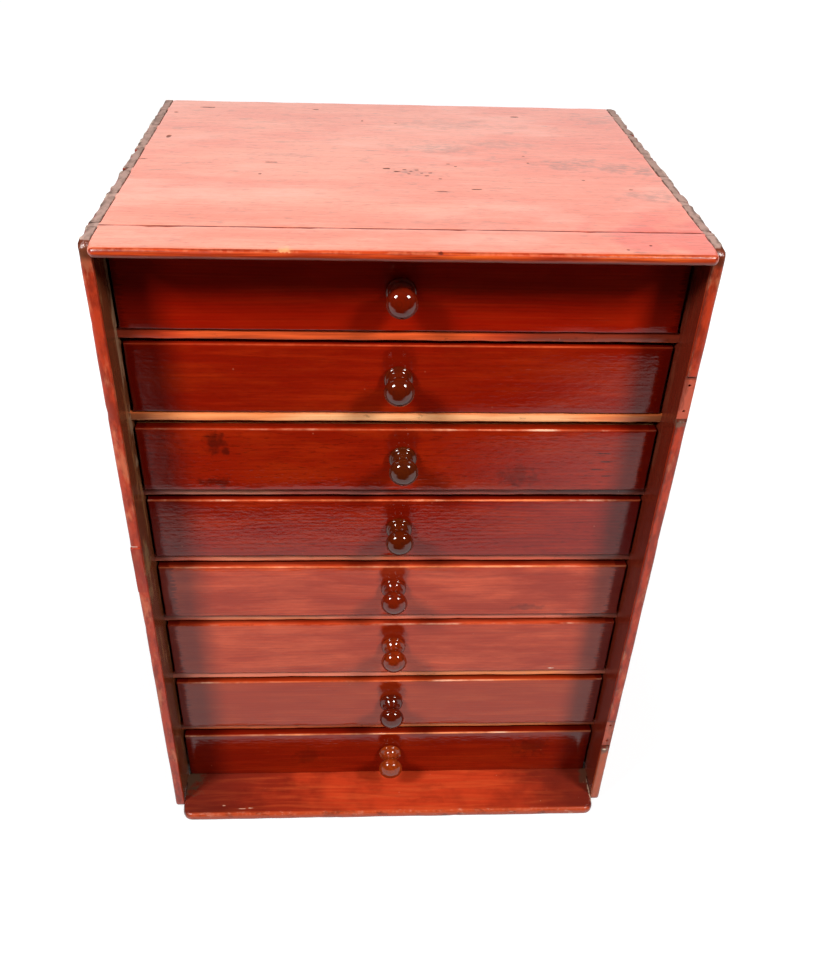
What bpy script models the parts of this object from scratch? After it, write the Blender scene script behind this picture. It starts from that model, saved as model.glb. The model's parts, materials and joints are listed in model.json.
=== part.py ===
"""Collectors cabinet: a pine table cabinet with eight drawers in one column.

Metres, +Z up. The front looks along -Y, and the origin is the middle of the footprint, on the floor.
"""

import math

import bmesh
import bpy
from mathutils import Matrix, Vector

# The case: two sides dovetailed to a top and a bottom that stand out in front of them.
CASE_WIDTH = 0.430
CASE_DEPTH = 0.350
SIDE_THICKNESS = 0.0085
TOP_THICKNESS = 0.0075
BOTTOM_THICKNESS = 0.0095
TOP_PROJECTION = 0.013
BOTTOM_PROJECTION = 0.0155
SIDE_CORNER_RADIUS = 0.008
TOP_CORNER_RADIUS = 0.005
BOTTOM_CORNER_RADIUS = 0.009
NOSE_RADIUS = 0.003
OUTER_ARRIS = 0.002
GLUE_LINE_SETBACK = 0.028
GLUE_LINE_WIDTH = 0.0008

# Through dovetails at the four corners of the case: pins on the top and bottom, tails on the sides.
PIN_COUNT = 6
PIN_WIDTH = 0.008
DOVETAIL_SLOPE = 1 / 7

# The back board lies in a rebate, the dividers in housings across the sides.
BACK_THICKNESS = 0.006
REBATE_WIDTH = 0.004
DIVIDER_THICKNESS = 0.0088
DIVIDER_NOSE = 0.0015
HOUSING_DEPTH = 0.003

# From the top down: how far each divider's front edge lies behind the line of the drawer fronts.
DIVIDER_SETBACKS = (0.0002, 0.0013, 0.0025, 0.004, 0.004, 0.003, 0.004)

# What the lost door left: two hinge recesses on the right, a glued-in slip on the left.
HINGE_LENGTH = 0.038
HINGE_RECESS = 0.002
UPPER_HINGE_DROP = 0.117
LOWER_HINGE_RISE = 0.104
SCREW_SPACING = 0.022
SCREW_HOLE_RADIUS = 0.0011
SCREW_HOLE_DEPTH = 0.008
SLIP_LENGTH = 0.048
SLIP_DROP = 0.257
SLIP_PROUD = 0.0014
SLIP_DEPTH = 0.004

# The drawer openings from the top down, each cut to its own height.
OPENING_1_HEIGHT = 0.0715
OPENING_2_HEIGHT = 0.0621
OPENING_3_HEIGHT = 0.0634
OPENING_4_HEIGHT = 0.0635
OPENING_5_HEIGHT = 0.0615
OPENING_6_HEIGHT = 0.065
OPENING_7_HEIGHT = 0.0665
OPENING_8_HEIGHT = 0.065
OPENING_HEIGHTS = (
    OPENING_1_HEIGHT, OPENING_2_HEIGHT, OPENING_3_HEIGHT, OPENING_4_HEIGHT,
    OPENING_5_HEIGHT, OPENING_6_HEIGHT, OPENING_7_HEIGHT, OPENING_8_HEIGHT)

# From the top down: where each hand-set knob sits across and up its drawer front.
KNOB_SHIFTS = (-0.002, -0.002, 0.003, 0.002, -0.001, 0.0005, 0.0, 0.0005)
KNOB_HEIGHTS = (0.0322, 0.0311, 0.033, 0.0315, 0.0345, 0.0365, 0.0345, 0.033)

# From the top down: the gap over each drawer, and how far it stands proud, being that much deeper.
DRAWER_TOP_GAPS = (0.0032, 0.0032, 0.0042, 0.0032, 0.0032, 0.0018, 0.0032, 0.0045)
DRAWERS_PROUD = (0.002, 0.0, 0.003, 0.0, 0.0, 0.0, 0.0, 0.0)

# The drawers: lapped dovetails at the front, a housed back, a thin bottom slid into grooves.
FRONT_RECESS = 0.033
DRAWER_SIDE_GAP = 0.002
DRAWER_BACK_GAP = 0.0008
FRONT_THICKNESS = 0.012
FRONT_ARRIS = 0.0012
FRONT_LAP = 0.003
DRAWER_SIDE_THICKNESS = 0.007
DRAWER_SIDE_DROP = 0.002
TAIL_HEIGHT = 0.018
TAIL_MARGIN = 0.004
DRAWER_BACK_THICKNESS = 0.007
DRAWER_BACK_DROP = 0.003
DRAWER_BACK_INSET = 0.008
PANEL_THICKNESS = 0.004
PANEL_RISE = 0.006
GROOVE_DEPTH = 0.003

# The turned knob: a bead against the drawer, a neck, a flattened ball and a tenon through the front.
BEAD_RADIUS = 0.0112
BEAD_THICKNESS = 0.005
NECK_RADIUS = 0.006
BALL_RADIUS = 0.0116
BALL_HALF_LENGTH = 0.0083
BALL_CENTRE = 0.0213
BALL_END_ANGLE = -48
TENON_RADIUS = 0.005

# Clearances: FIT between pieces that touch, REACH for how far a cutter runs past what it cuts.
FIT = 0.0003
REACH = 0.002

# How finely round stretches are divided, and how close two places are to count as one.
CORNER_STEPS = 4
NOSE_STEPS = 3
ARRIS_STEPS = 2
BALL_STEPS = 9
NECK_STEPS = 5
BEAD_STEPS = 6
KNOB_SEGMENTS = 20
SCREW_HOLE_SEGMENTS = 10
SAME_PLACE = 0.00001
MERGE_DISTANCE = 0.00005

# The directions along the case's depth and up its height.
REARWARD = Vector((0, 1, 0))
UPWARD = Vector((0, 0, 1))

# Places worked out from the sizes above.
INNER_WIDTH = CASE_WIDTH - 2 * SIDE_THICKNESS
STACK_HEIGHT = sum(OPENING_HEIGHTS) + (len(OPENING_HEIGHTS) - 1) * DIVIDER_THICKNESS
CASE_HEIGHT = BOTTOM_THICKNESS + STACK_HEIGHT + TOP_THICKNESS
FULL_DEPTH = CASE_DEPTH + max(TOP_PROJECTION, BOTTOM_PROJECTION)
BACK_Y = FULL_DEPTH / 2
FRONT_Y = BACK_Y - CASE_DEPTH
FACE_Y = FRONT_Y + FRONT_RECESS
REBATE_Y = BACK_Y - BACK_THICKNESS
TOP_UNDERSIDE = CASE_HEIGHT - TOP_THICKNESS
PIN_PITCH = CASE_DEPTH / PIN_COUNT
DRAWER_WIDTH = INNER_WIDTH - 2 * DRAWER_SIDE_GAP
DRAWER_INNER_WIDTH = DRAWER_WIDTH - 2 * DRAWER_SIDE_THICKNESS
DRAWER_REAR_Y = REBATE_Y - DRAWER_BACK_GAP
PANEL_TOP = PANEL_RISE + PANEL_THICKNESS


def clear_scene():
    """Remove every object that is in the scene."""
    for leftover in list(bpy.data.objects):
        bpy.data.objects.remove(leftover, do_unlink=True)


def new_collection(name):
    """A collection linked to the scene."""
    collection = bpy.data.collections.new(name)
    bpy.context.scene.collection.children.link(collection)
    return collection


def new_material(name, colour, roughness):
    """A non-metallic finish with one colour."""
    material = bpy.data.materials.new(name)
    material.use_nodes = True
    material.diffuse_color = (*colour, 1)
    shader = material.node_tree.nodes["Principled BSDF"]
    shader.inputs["Base Color"].default_value = (*colour, 1)
    shader.inputs["Roughness"].default_value = roughness
    shader.inputs["Metallic"].default_value = 0.0
    return material


def add_block(shape, low, high):
    """Add a box between two corners and return its vertices."""
    low = Vector(low)
    high = Vector(high)
    place = Matrix.Translation((low + high) / 2) @ Matrix.Diagonal((*(high - low), 1))
    return bmesh.ops.create_cube(shape, size=1, matrix=place)["verts"]


def block(low, high):
    """A new box between two corners."""
    shape = bmesh.new()
    add_block(shape, low, high)
    return shape


def mirrored_block(shape, hand, inner, outer, low, high):
    """Add a box between two distances from the middle plane, on the left (-1) or right (1) hand."""
    left, right = sorted((hand * inner, hand * outer))
    return add_block(shape, (left, *low), (right, *high))


def splay(vertices, along, across, towards):
    """Turn a box into a dovetail that widens towards the low (-1) or high (1) end of one direction."""
    middle = sum((vertex.co for vertex in vertices), Vector()) / len(vertices)
    spread = DOVETAIL_SLOPE * 2 * abs((vertices[0].co - middle).dot(along))
    for vertex in vertices:
        offset = vertex.co - middle
        if towards * offset.dot(along) > 0:
            vertex.co += math.copysign(spread, offset.dot(across)) * across


def near(value, target):
    """True where two places count as one, or where no target is set."""
    return target is None or abs(value - target) < SAME_PLACE


def round_edges(shape, radius, steps, x=None, y=None, z=None, rear=math.inf):
    """Round the edges that lie at the given places and no further back than rear."""
    def chosen(at):
        return near(at.x, x) and near(at.y, y) and near(at.z, z) and at.y < rear

    edges = [edge for edge in shape.edges if all(chosen(vertex.co) for vertex in edge.verts)]
    bmesh.ops.bevel(shape, geom=edges, offset=radius, segments=steps, profile=0.5, affect="EDGES")


def new_object(name, shape, collection, parent):
    """Make an object from a shape, in its parent's frame."""
    mesh = bpy.data.meshes.new(name)
    shape.to_mesh(mesh)
    shape.free()
    piece = bpy.data.objects.new(name, mesh)
    piece.parent = parent
    collection.objects.link(piece)
    return piece


def new_piece(name, shape, material, parent=None):
    """Make one sub-part of the cabinet."""
    piece = new_object(name, shape, cabinet, parent)
    piece.data.materials.append(material)
    return piece


def combine(piece, operation, name, shape):
    """Cut a shape from a piece, or join it on, with a Boolean modifier."""
    tool = new_object(f"{piece.name}_{name}", shape, cutters, piece.parent)
    tool.hide_render = True
    tool.display_type = "WIRE"
    modifier = piece.modifiers.new(name, "BOOLEAN")
    modifier.operation = operation
    modifier.solver = "EXACT"
    modifier.object = tool


def pin_places():
    """The middles of the case pins from front to back."""
    return [FRONT_Y + (index + 0.5) * PIN_PITCH for index in range(PIN_COUNT)]


def rebate_shape():
    """The space that the back board's rebate takes out of the four case boards."""
    half_width = INNER_WIDTH / 2 + REBATE_WIDTH
    low = (-half_width, REBATE_Y, BOTTOM_THICKNESS - REBATE_WIDTH)
    high = (half_width, BACK_Y + REACH, TOP_UNDERSIDE + REBATE_WIDTH)
    return block(low, high)


def divider_floors():
    """The undersides of the dividers from the top down."""
    floors = []
    height = TOP_UNDERSIDE
    for opening in OPENING_HEIGHTS[:-1]:
        height -= opening + DIVIDER_THICKNESS
        floors.append(height)
    return floors


def socket_shape(hand):
    """The sockets in a side for the pins of the top and the bottom."""
    shape = bmesh.new()
    half = PIN_WIDTH / 2 + FIT - DOVETAIL_SLOPE * REACH
    inner = INNER_WIDTH / 2 - REACH
    outer = CASE_WIDTH / 2 + REACH
    ends = ((-1, TOP_UNDERSIDE - FIT, CASE_HEIGHT + REACH), (1, -REACH, BOTTOM_THICKNESS + FIT))
    for place in pin_places():
        for inward, floor, ceiling in ends:
            pin = mirrored_block(shape, hand, inner, outer, (place - half, floor), (place + half, ceiling))
            splay(pin, UPWARD, REARWARD, inward)
    return shape


def housing_shape(hand):
    """The housings in a side for the dividers."""
    shape = bmesh.new()
    for floor, setback in zip(divider_floors(), DIVIDER_SETBACKS):
        low = (FACE_Y + setback - FIT, floor - FIT)
        high = (REBATE_Y + REACH, floor + DIVIDER_THICKNESS + FIT)
        mirrored_block(shape, hand, INNER_WIDTH / 2 - REACH, INNER_WIDTH / 2 + HOUSING_DEPTH, low, high)
    return shape


def build_side(hand, name):
    """A case side with its tails, housings and rebate."""
    shape = bmesh.new()
    outer = CASE_WIDTH / 2
    mirrored_block(shape, hand, INNER_WIDTH / 2, outer, (FRONT_Y, 0), (BACK_Y, CASE_HEIGHT))
    for end in (0, CASE_HEIGHT):
        round_edges(shape, SIDE_CORNER_RADIUS, CORNER_STEPS, y=FRONT_Y, z=end)
    round_edges(shape, OUTER_ARRIS, ARRIS_STEPS, x=hand * outer)
    side = new_piece(name, shape, stained_side)
    combine(side, "DIFFERENCE", "sockets", socket_shape(hand))
    combine(side, "DIFFERENCE", "rebate", rebate_shape())
    combine(side, "DIFFERENCE", "housings", housing_shape(hand))
    return side


def add_hinge_recesses(side):
    """Two recesses across the front edge, each with two screw holes."""
    recesses = bmesh.new()
    holes = bmesh.new()
    floor = FRONT_Y + HINGE_RECESS
    middle_x = (INNER_WIDTH + SIDE_THICKNESS) / 2
    for centre in (LOWER_HINGE_RISE, CASE_HEIGHT - UPPER_HINGE_DROP):
        low = (INNER_WIDTH / 2 - REACH, FRONT_Y - REACH, centre - HINGE_LENGTH / 2)
        high = (CASE_WIDTH / 2 + REACH, floor, centre + HINGE_LENGTH / 2)
        add_block(recesses, low, high)
        for offset in (-SCREW_SPACING / 2, SCREW_SPACING / 2):
            length = SCREW_HOLE_DEPTH + REACH
            place = Matrix.Translation((middle_x, floor + SCREW_HOLE_DEPTH - length / 2, centre + offset))
            turn = Matrix.Rotation(math.radians(90), 4, "X")
            bmesh.ops.create_cone(
                holes, cap_ends=True, segments=SCREW_HOLE_SEGMENTS, radius1=SCREW_HOLE_RADIUS,
                radius2=SCREW_HOLE_RADIUS, depth=length, matrix=place @ turn)
    combine(side, "DIFFERENCE", "hinge_recesses", recesses)
    combine(side, "DIFFERENCE", "screw_holes", holes)


def add_slip(side):
    """The slip glued into the front edge: proud at its upper end, flush at its lower one."""
    top = CASE_HEIGHT - SLIP_DROP
    low = (-CASE_WIDTH / 2, FRONT_Y - SLIP_PROUD, top - SLIP_LENGTH)
    high = (-INNER_WIDTH / 2, FRONT_Y + SLIP_DEPTH, top)
    shape = block(low, high)
    for vertex in shape.verts:
        if near(vertex.co.z, low[2]) and near(vertex.co.y, low[1]):
            vertex.co.y = FRONT_Y + FIT
    combine(side, "UNION", "slip", shape)


def build_end_board(name, floor, ceiling, projection, corner_radius, inward):
    """The top or the bottom: a panel with a round nose in front and pins at both ends."""
    half_width = INNER_WIDTH / 2 - FIT
    nose_y = FRONT_Y - projection
    shape = block((-half_width, nose_y, floor), (half_width, BACK_Y, ceiling))
    for end_x in (-half_width, half_width):
        round_edges(shape, corner_radius, CORNER_STEPS, x=end_x, y=nose_y)
    nose_rear = nose_y + corner_radius + SAME_PLACE
    for face_z in (floor, ceiling):
        round_edges(shape, NOSE_RADIUS, NOSE_STEPS, z=face_z, rear=nose_rear)
    board = new_piece(name, shape, stained_top)
    combine(board, "UNION", "pins", pins_shape(floor, ceiling, inward))
    combine(board, "DIFFERENCE", "rebate", rebate_shape())
    return board


def pins_shape(floor, ceiling, inward):
    """The pins of one end board, wider towards the inside of the case, with a worn outer arris."""
    shape = bmesh.new()
    half = PIN_WIDTH / 2
    outer_z = ceiling if inward < 0 else floor
    for hand in (-1, 1):
        for place in pin_places():
            low = (place - half, floor)
            high = (place + half, ceiling)
            pin = mirrored_block(shape, hand, INNER_WIDTH / 2 - REACH, CASE_WIDTH / 2, low, high)
            splay(pin, UPWARD, REARWARD, inward)
        round_edges(shape, OUTER_ARRIS, ARRIS_STEPS, x=hand * CASE_WIDTH / 2, z=outer_z)
    return shape


def add_glue_line(board):
    """The fine V along the joint between the wide board and the front strip of the top."""
    shape = bmesh.new()
    place = Matrix.Translation((0, FRONT_Y + GLUE_LINE_SETBACK, CASE_HEIGHT))
    turn = Matrix.Rotation(math.radians(45), 4, "X")
    side = GLUE_LINE_WIDTH / math.sqrt(2)
    stretch = Matrix.Diagonal((INNER_WIDTH - 2 * REACH, side, side, 1))
    bmesh.ops.create_cube(shape, size=1, matrix=place @ turn @ stretch)
    combine(board, "DIFFERENCE", "glue_line", shape)


def build_back():
    """The back board in its rebate."""
    half_width = INNER_WIDTH / 2 + REBATE_WIDTH - FIT
    low = (-half_width, REBATE_Y + FIT, BOTTOM_THICKNESS - REBATE_WIDTH + FIT)
    high = (half_width, BACK_Y, TOP_UNDERSIDE + REBATE_WIDTH - FIT)
    new_piece("back_board", block(low, high), plain_pine)


def build_divider(number, floor, setback):
    """A divider as deep as the case inside, with a round front edge."""
    half_width = INNER_WIDTH / 2 + HOUSING_DEPTH - FIT
    front = FACE_Y + setback
    ceiling = floor + DIVIDER_THICKNESS
    shape = block((-half_width, front, floor), (half_width, REBATE_Y - FIT, ceiling))
    for face_z in (floor, ceiling):
        round_edges(shape, DIVIDER_NOSE, ARRIS_STEPS, y=front, z=face_z)
    new_piece(f"divider_{number}", shape, stained_rail)


def tail_middles(height):
    """The middles of the two tails on a drawer side."""
    lower = TAIL_MARGIN + TAIL_HEIGHT / 2
    upper = height - DRAWER_SIDE_DROP - TAIL_MARGIN - TAIL_HEIGHT / 2
    return (lower, upper)


def tails_shape(hand, height, inner, outer, rear, spare):
    """Both tails of a drawer side, grown by a spare on every flank to cut their sockets."""
    shape = bmesh.new()
    half = TAIL_HEIGHT / 2 + spare - DOVETAIL_SLOPE * (rear - FRONT_LAP)
    for middle in tail_middles(height):
        low = (FRONT_LAP + FIT - spare, middle - half)
        high = (rear, middle + half)
        tail = mirrored_block(shape, hand, inner, outer, low, high)
        splay(tail, REARWARD, UPWARD, -1)
    return shape


def build_drawer_front(number, height, knob_x, knob_z, slide):
    """A drawer front with sockets for the tails, a groove for the bottom and a hole for the knob."""
    half_width = DRAWER_WIDTH / 2
    shape = block((-half_width, 0, 0), (half_width, FRONT_THICKNESS, height))
    round_edges(shape, FRONT_ARRIS, ARRIS_STEPS, y=0)
    front = new_piece(f"drawer_{number}_front", shape, stained_front, slide)
    for hand, hand_name in ((-1, "left"), (1, "right")):
        inner = DRAWER_INNER_WIDTH / 2 - FIT
        sockets = tails_shape(hand, height, inner, half_width + REACH, FRONT_THICKNESS + REACH, FIT)
        combine(front, "DIFFERENCE", f"{hand_name}_sockets", sockets)
    groove_half = DRAWER_INNER_WIDTH / 2 + GROOVE_DEPTH
    groove = block(
        (-groove_half, FRONT_THICKNESS - GROOVE_DEPTH, PANEL_RISE - FIT),
        (groove_half, FRONT_THICKNESS + REACH, PANEL_TOP + FIT))
    combine(front, "DIFFERENCE", "groove", groove)
    hole = bmesh.new()
    place = Matrix.Translation((knob_x, FRONT_THICKNESS / 2, knob_z))
    turn = Matrix.Rotation(math.radians(90), 4, "X")
    bmesh.ops.create_cone(
        hole, cap_ends=True, segments=KNOB_SEGMENTS, radius1=TENON_RADIUS + FIT, radius2=TENON_RADIUS + FIT,
        depth=FRONT_THICKNESS + 2 * REACH, matrix=place @ turn)
    combine(front, "DIFFERENCE", "knob_hole", hole)


def build_drawer_side(number, height, depth, hand, hand_name, slide):
    """A drawer side with two tails, a groove for the bottom and a housing for the back."""
    inner = DRAWER_INNER_WIDTH / 2
    outer = DRAWER_WIDTH / 2
    top = height - DRAWER_SIDE_DROP
    shape = bmesh.new()
    mirrored_block(shape, hand, inner, outer, (FRONT_THICKNESS + FIT, 0), (depth, top))
    side = new_piece(f"drawer_{number}_side_{hand_name}", shape, plain_pine, slide)
    combine(side, "UNION", "tails", tails_shape(hand, height, inner, outer, FRONT_THICKNESS + REACH, 0))
    groove = bmesh.new()
    mirrored_block(
        groove, hand, inner - REACH, inner + GROOVE_DEPTH,
        (0, PANEL_RISE - FIT), (depth + REACH, PANEL_TOP + FIT))
    combine(side, "DIFFERENCE", "groove", groove)
    housing = bmesh.new()
    back_rear = depth - DRAWER_BACK_INSET
    mirrored_block(
        housing, hand, inner - REACH, inner + GROOVE_DEPTH,
        (back_rear - DRAWER_BACK_THICKNESS - FIT, PANEL_TOP), (back_rear + FIT, top + REACH))
    combine(side, "DIFFERENCE", "housing", housing)


def build_drawer_back(number, height, depth, slide):
    """The drawer back, standing on the bottom panel between the sides."""
    half_width = DRAWER_INNER_WIDTH / 2 + GROOVE_DEPTH - FIT
    back_rear = depth - DRAWER_BACK_INSET
    low = (-half_width, back_rear - DRAWER_BACK_THICKNESS, PANEL_TOP + FIT)
    high = (half_width, back_rear, height - DRAWER_SIDE_DROP - DRAWER_BACK_DROP)
    new_piece(f"drawer_{number}_back", block(low, high), plain_pine, slide)


def build_drawer_bottom(number, depth, slide):
    """The thin bottom panel, in grooves on three sides."""
    half_width = DRAWER_INNER_WIDTH / 2 + GROOVE_DEPTH - FIT
    low = (-half_width, FRONT_THICKNESS - GROOVE_DEPTH + FIT, PANEL_RISE)
    high = (half_width, depth - DRAWER_BACK_INSET, PANEL_TOP)
    new_piece(f"drawer_{number}_bottom", block(low, high), plain_pine, slide)


def arc(centre_r, centre_z, radius_r, radius_z, start, stop, steps):
    """Points on part of an ellipse, as distance from the axis and place along it."""
    points = []
    for step in range(steps + 1):
        angle = math.radians(start + (stop - start) * step / steps)
        points.append((centre_r + radius_r * math.cos(angle), centre_z + radius_z * math.sin(angle)))
    return points


def knob_profile():
    """Half of the knob's section, from the tip of the ball down to the end of the tenon."""
    bead_half = BEAD_THICKNESS / 2
    ball = arc(0, BALL_CENTRE, BALL_RADIUS, BALL_HALF_LENGTH, 90, BALL_END_ANGLE, BALL_STEPS)
    bead = arc(BEAD_RADIUS - bead_half, FIT + bead_half, bead_half, bead_half, 90, -90, BEAD_STEPS)
    neck = scoop(ball[-1], bead[0])
    tenon = [(TENON_RADIUS, FIT), (TENON_RADIUS, -FRONT_THICKNESS), (0, -FRONT_THICKNESS)]
    return [(0, BALL_CENTRE + BALL_HALF_LENGTH), *ball[1:], *neck, *bead, *tenon]


def scoop(upper, lower):
    """The hollow of the neck between two points, down to the neck's radius half way."""
    dip = (upper[0] + lower[0]) / 2 - NECK_RADIUS
    points = []
    for step in range(1, NECK_STEPS + 1):
        share = step / (NECK_STEPS + 1)
        radius = upper[0] + (lower[0] - upper[0]) * share - dip * math.sin(math.pi * share)
        points.append((radius, upper[1] + (lower[1] - upper[1]) * share))
    return points


def build_knob(number, knob_x, knob_z, slide):
    """A knob turned about its own Z axis and laid down to point out of the drawer."""
    shape = bmesh.new()
    rim = [shape.verts.new((radius, 0, height)) for radius, height in knob_profile()]
    for first, second in zip(rim, rim[1:]):
        shape.edges.new((first, second))
    knob = new_piece(f"drawer_{number}_knob", shape, knob_brown, slide)
    knob.location = (knob_x, 0, knob_z)
    knob.rotation_euler = (math.radians(90), 0, 0)
    screw = knob.modifiers.new("turning", "SCREW")
    screw.axis = "Z"
    screw.steps = KNOB_SEGMENTS
    screw.render_steps = KNOB_SEGMENTS
    screw.use_merge_vertices = True
    screw.merge_threshold = MERGE_DISTANCE
    screw.use_smooth_shade = True


def build_drawer(number, floor, opening):
    """One drawer on an empty that marks the line it slides along."""
    front_y = FACE_Y - DRAWERS_PROUD[number - 1]
    slide = bpy.data.objects.new(f"drawer_{number}_slide", None)
    slide.location = (0, front_y, floor + FIT)
    cabinet.objects.link(slide)
    height = opening - DRAWER_TOP_GAPS[number - 1] - FIT
    depth = DRAWER_REAR_Y - front_y
    knob_x = KNOB_SHIFTS[number - 1]
    knob_z = KNOB_HEIGHTS[number - 1]
    build_drawer_front(number, height, knob_x, knob_z, slide)
    build_drawer_side(number, height, depth, -1, "left", slide)
    build_drawer_side(number, height, depth, 1, "right", slide)
    build_drawer_back(number, height, depth, slide)
    build_drawer_bottom(number, depth, slide)
    build_knob(number, knob_x, knob_z, slide)


clear_scene()
cabinet = new_collection("collectors_cabinet")
cutters = new_collection("cutters")

stained_side = new_material("stained_side", (0.150, 0.018, 0.008), 0.25)
stained_top = new_material("stained_top", (0.290, 0.040, 0.020), 0.20)
stained_rail = new_material("stained_rail", (0.330, 0.060, 0.020), 0.20)
stained_front = new_material("stained_front", (0.200, 0.015, 0.005), 0.15)
knob_brown = new_material("knob_brown", (0.060, 0.012, 0.006), 0.10)
plain_pine = new_material("plain_pine", (0.520, 0.330, 0.160), 0.60)

add_slip(build_side(-1, "side_left"))
add_hinge_recesses(build_side(1, "side_right"))
top_board = build_end_board("top_board", TOP_UNDERSIDE, CASE_HEIGHT, TOP_PROJECTION, TOP_CORNER_RADIUS, -1)
add_glue_line(top_board)
build_end_board("bottom_board", 0, BOTTOM_THICKNESS, BOTTOM_PROJECTION, BOTTOM_CORNER_RADIUS, 1)
build_back()

drawer_floors = [floor + DIVIDER_THICKNESS for floor in divider_floors()] + [BOTTOM_THICKNESS]
for divider_number, divider_floor in enumerate(divider_floors(), 1):
    build_divider(divider_number, divider_floor, DIVIDER_SETBACKS[divider_number - 1])
for drawer_number, opening_height in enumerate(OPENING_HEIGHTS, 1):
    build_drawer(drawer_number, drawer_floors[drawer_number - 1], opening_height)
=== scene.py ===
"""Dress a pine collectors cabinet: worn stained boards, turned knobs, cut nails and a pale studio.

Metres, +Z up. The front looks along -Y, and the origin is the middle of the footprint, on the floor.
"""

import json
import math

import bmesh
import bpy
from bpy.props import FloatProperty, FloatVectorProperty, IntProperty, PointerProperty
from mathutils import Matrix, Vector, noise


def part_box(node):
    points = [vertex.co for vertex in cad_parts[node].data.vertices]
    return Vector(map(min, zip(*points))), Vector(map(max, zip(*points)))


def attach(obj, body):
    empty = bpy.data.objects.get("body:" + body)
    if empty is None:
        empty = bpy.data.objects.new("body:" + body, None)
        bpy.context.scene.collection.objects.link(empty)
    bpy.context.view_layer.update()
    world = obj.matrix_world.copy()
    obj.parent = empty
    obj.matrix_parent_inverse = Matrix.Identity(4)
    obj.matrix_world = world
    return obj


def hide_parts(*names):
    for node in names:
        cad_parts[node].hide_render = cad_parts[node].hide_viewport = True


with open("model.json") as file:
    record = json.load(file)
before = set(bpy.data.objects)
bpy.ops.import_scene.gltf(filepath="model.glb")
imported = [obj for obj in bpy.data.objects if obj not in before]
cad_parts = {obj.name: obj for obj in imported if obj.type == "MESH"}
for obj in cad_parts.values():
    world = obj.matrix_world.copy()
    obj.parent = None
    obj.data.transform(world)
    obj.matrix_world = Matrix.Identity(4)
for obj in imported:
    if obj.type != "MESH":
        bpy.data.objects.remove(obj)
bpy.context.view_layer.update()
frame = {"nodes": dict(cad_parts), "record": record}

bl_info = {
    "name": "Collectors cabinet",
    "version": (1, 0, 0),
    "blender": (4, 5, 0),
    "location": "View3D > Sidebar > Cabinet",
    "description": "Dresses the cabinet's boards, knobs and nails, and sets it in a pale studio",
    "category": "Object",
}

# Places that the finishes share, read from the frame.
DRAWERS = range(1, 9)
RAILS = range(1, 8)
CASE_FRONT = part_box("side_right")[0].y
CASE_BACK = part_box("side_right")[1].y
CASE_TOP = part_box("top_board")[1].z
INNER_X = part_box("side_right")[0].x
OUTER_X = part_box("side_right")[1].x
FACE_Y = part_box("drawer_2_front")[0].y
FRONT_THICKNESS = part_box("drawer_2_front")[1].y - FACE_Y
BODY_OF = {node: body for body, nodes in frame["record"]["behaviour"]["bodies"].items() for node in nodes}

# Further off than any board reaches, for a zone without a limit on that side.
FAR = 1.0

# How far back the finish of the sides' front edges reaches.
EDGE_BACK = CASE_FRONT + 0.0029

# The dovetail pins of the top: their spacing from front to back, and half of a pin's width.
PIN_PITCH = (CASE_BACK - CASE_FRONT) / 6
PIN_HALF = 0.004

# The glued slip on the left edge and the two hinge recesses on the right one: lowest and highest z.
SLIP_SPAN = (0.292, 0.341)
HINGE_SPANS = ((0.085, 0.123), (0.461, 0.499))

# The glued joint across the top, near its front edge.
GLUE_LINE = CASE_FRONT + 0.028

# How deep a mark that is given by its place and size on a face reaches below it.
MARK_DEPTH = 0.01

# Slits, knocks and dents on the top: x, y, half length, half width and strength.
TOP_KNOCKS = (
    (-0.171, 0.1595, 0.0085, 0.0012, 1.0), (-0.072, 0.159, 0.0034, 0.001, 0.9),
    (-0.192, 0.066, 0.0022, 0.0045, 0.7), (-0.197, 0.141, 0.002, 0.0018, 0.6),
    (-0.102, 0.001, 0.0075, 0.0009, 0.8), (-0.108, -0.028, 0.0014, 0.0014, 0.7),
    (-0.203, 0.004, 0.004, 0.001, 0.8), (-0.01, -0.01, 0.0034, 0.0015, 0.9),
    (-0.002, -0.017, 0.0026, 0.0015, 0.9), (-0.029, 0.124, 0.0012, 0.0014, 0.7),
    (0.001, 0.118, 0.002, 0.001, 0.6), (0.112, 0.147, 0.0042, 0.0018, 0.8),
    (0.056, -0.056, 0.005, 0.0012, 0.8), (0.04, 0.004, 0.002, 0.001, 0.6),
    (0.021, -0.026, 0.002, 0.0011, 0.8), (0.024, -0.019, 0.002, 0.001, 0.7),
    (0.031, -0.033, 0.0018, 0.001, 0.7), (0.176, -0.051, 0.002, 0.001, 0.6),
    (0.163, -0.163, 0.0013, 0.0013, 0.8), (0.146, -0.171, 0.0013, 0.0012, 0.7),
    (0.004, -0.012, 0.0018, 0.001, 0.9), (0.009, -0.0155, 0.0016, 0.0009, 0.8),
    (0.0135, -0.0125, 0.0018, 0.001, 0.9), (0.017, -0.02, 0.0016, 0.0009, 0.8),
    (0.007, -0.022, 0.0018, 0.001, 0.8), (0.045, -0.002, 0.0014, 0.0009, 0.7),
    (0.105, 0.01, 0.0013, 0.0013, 0.7), (0.104, 0.028, 0.0013, 0.001, 0.7),
    (0.143, -0.031, 0.0018, 0.001, 0.7), (0.03, -0.062, 0.006, 0.0009, 0.7),
)

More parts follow.
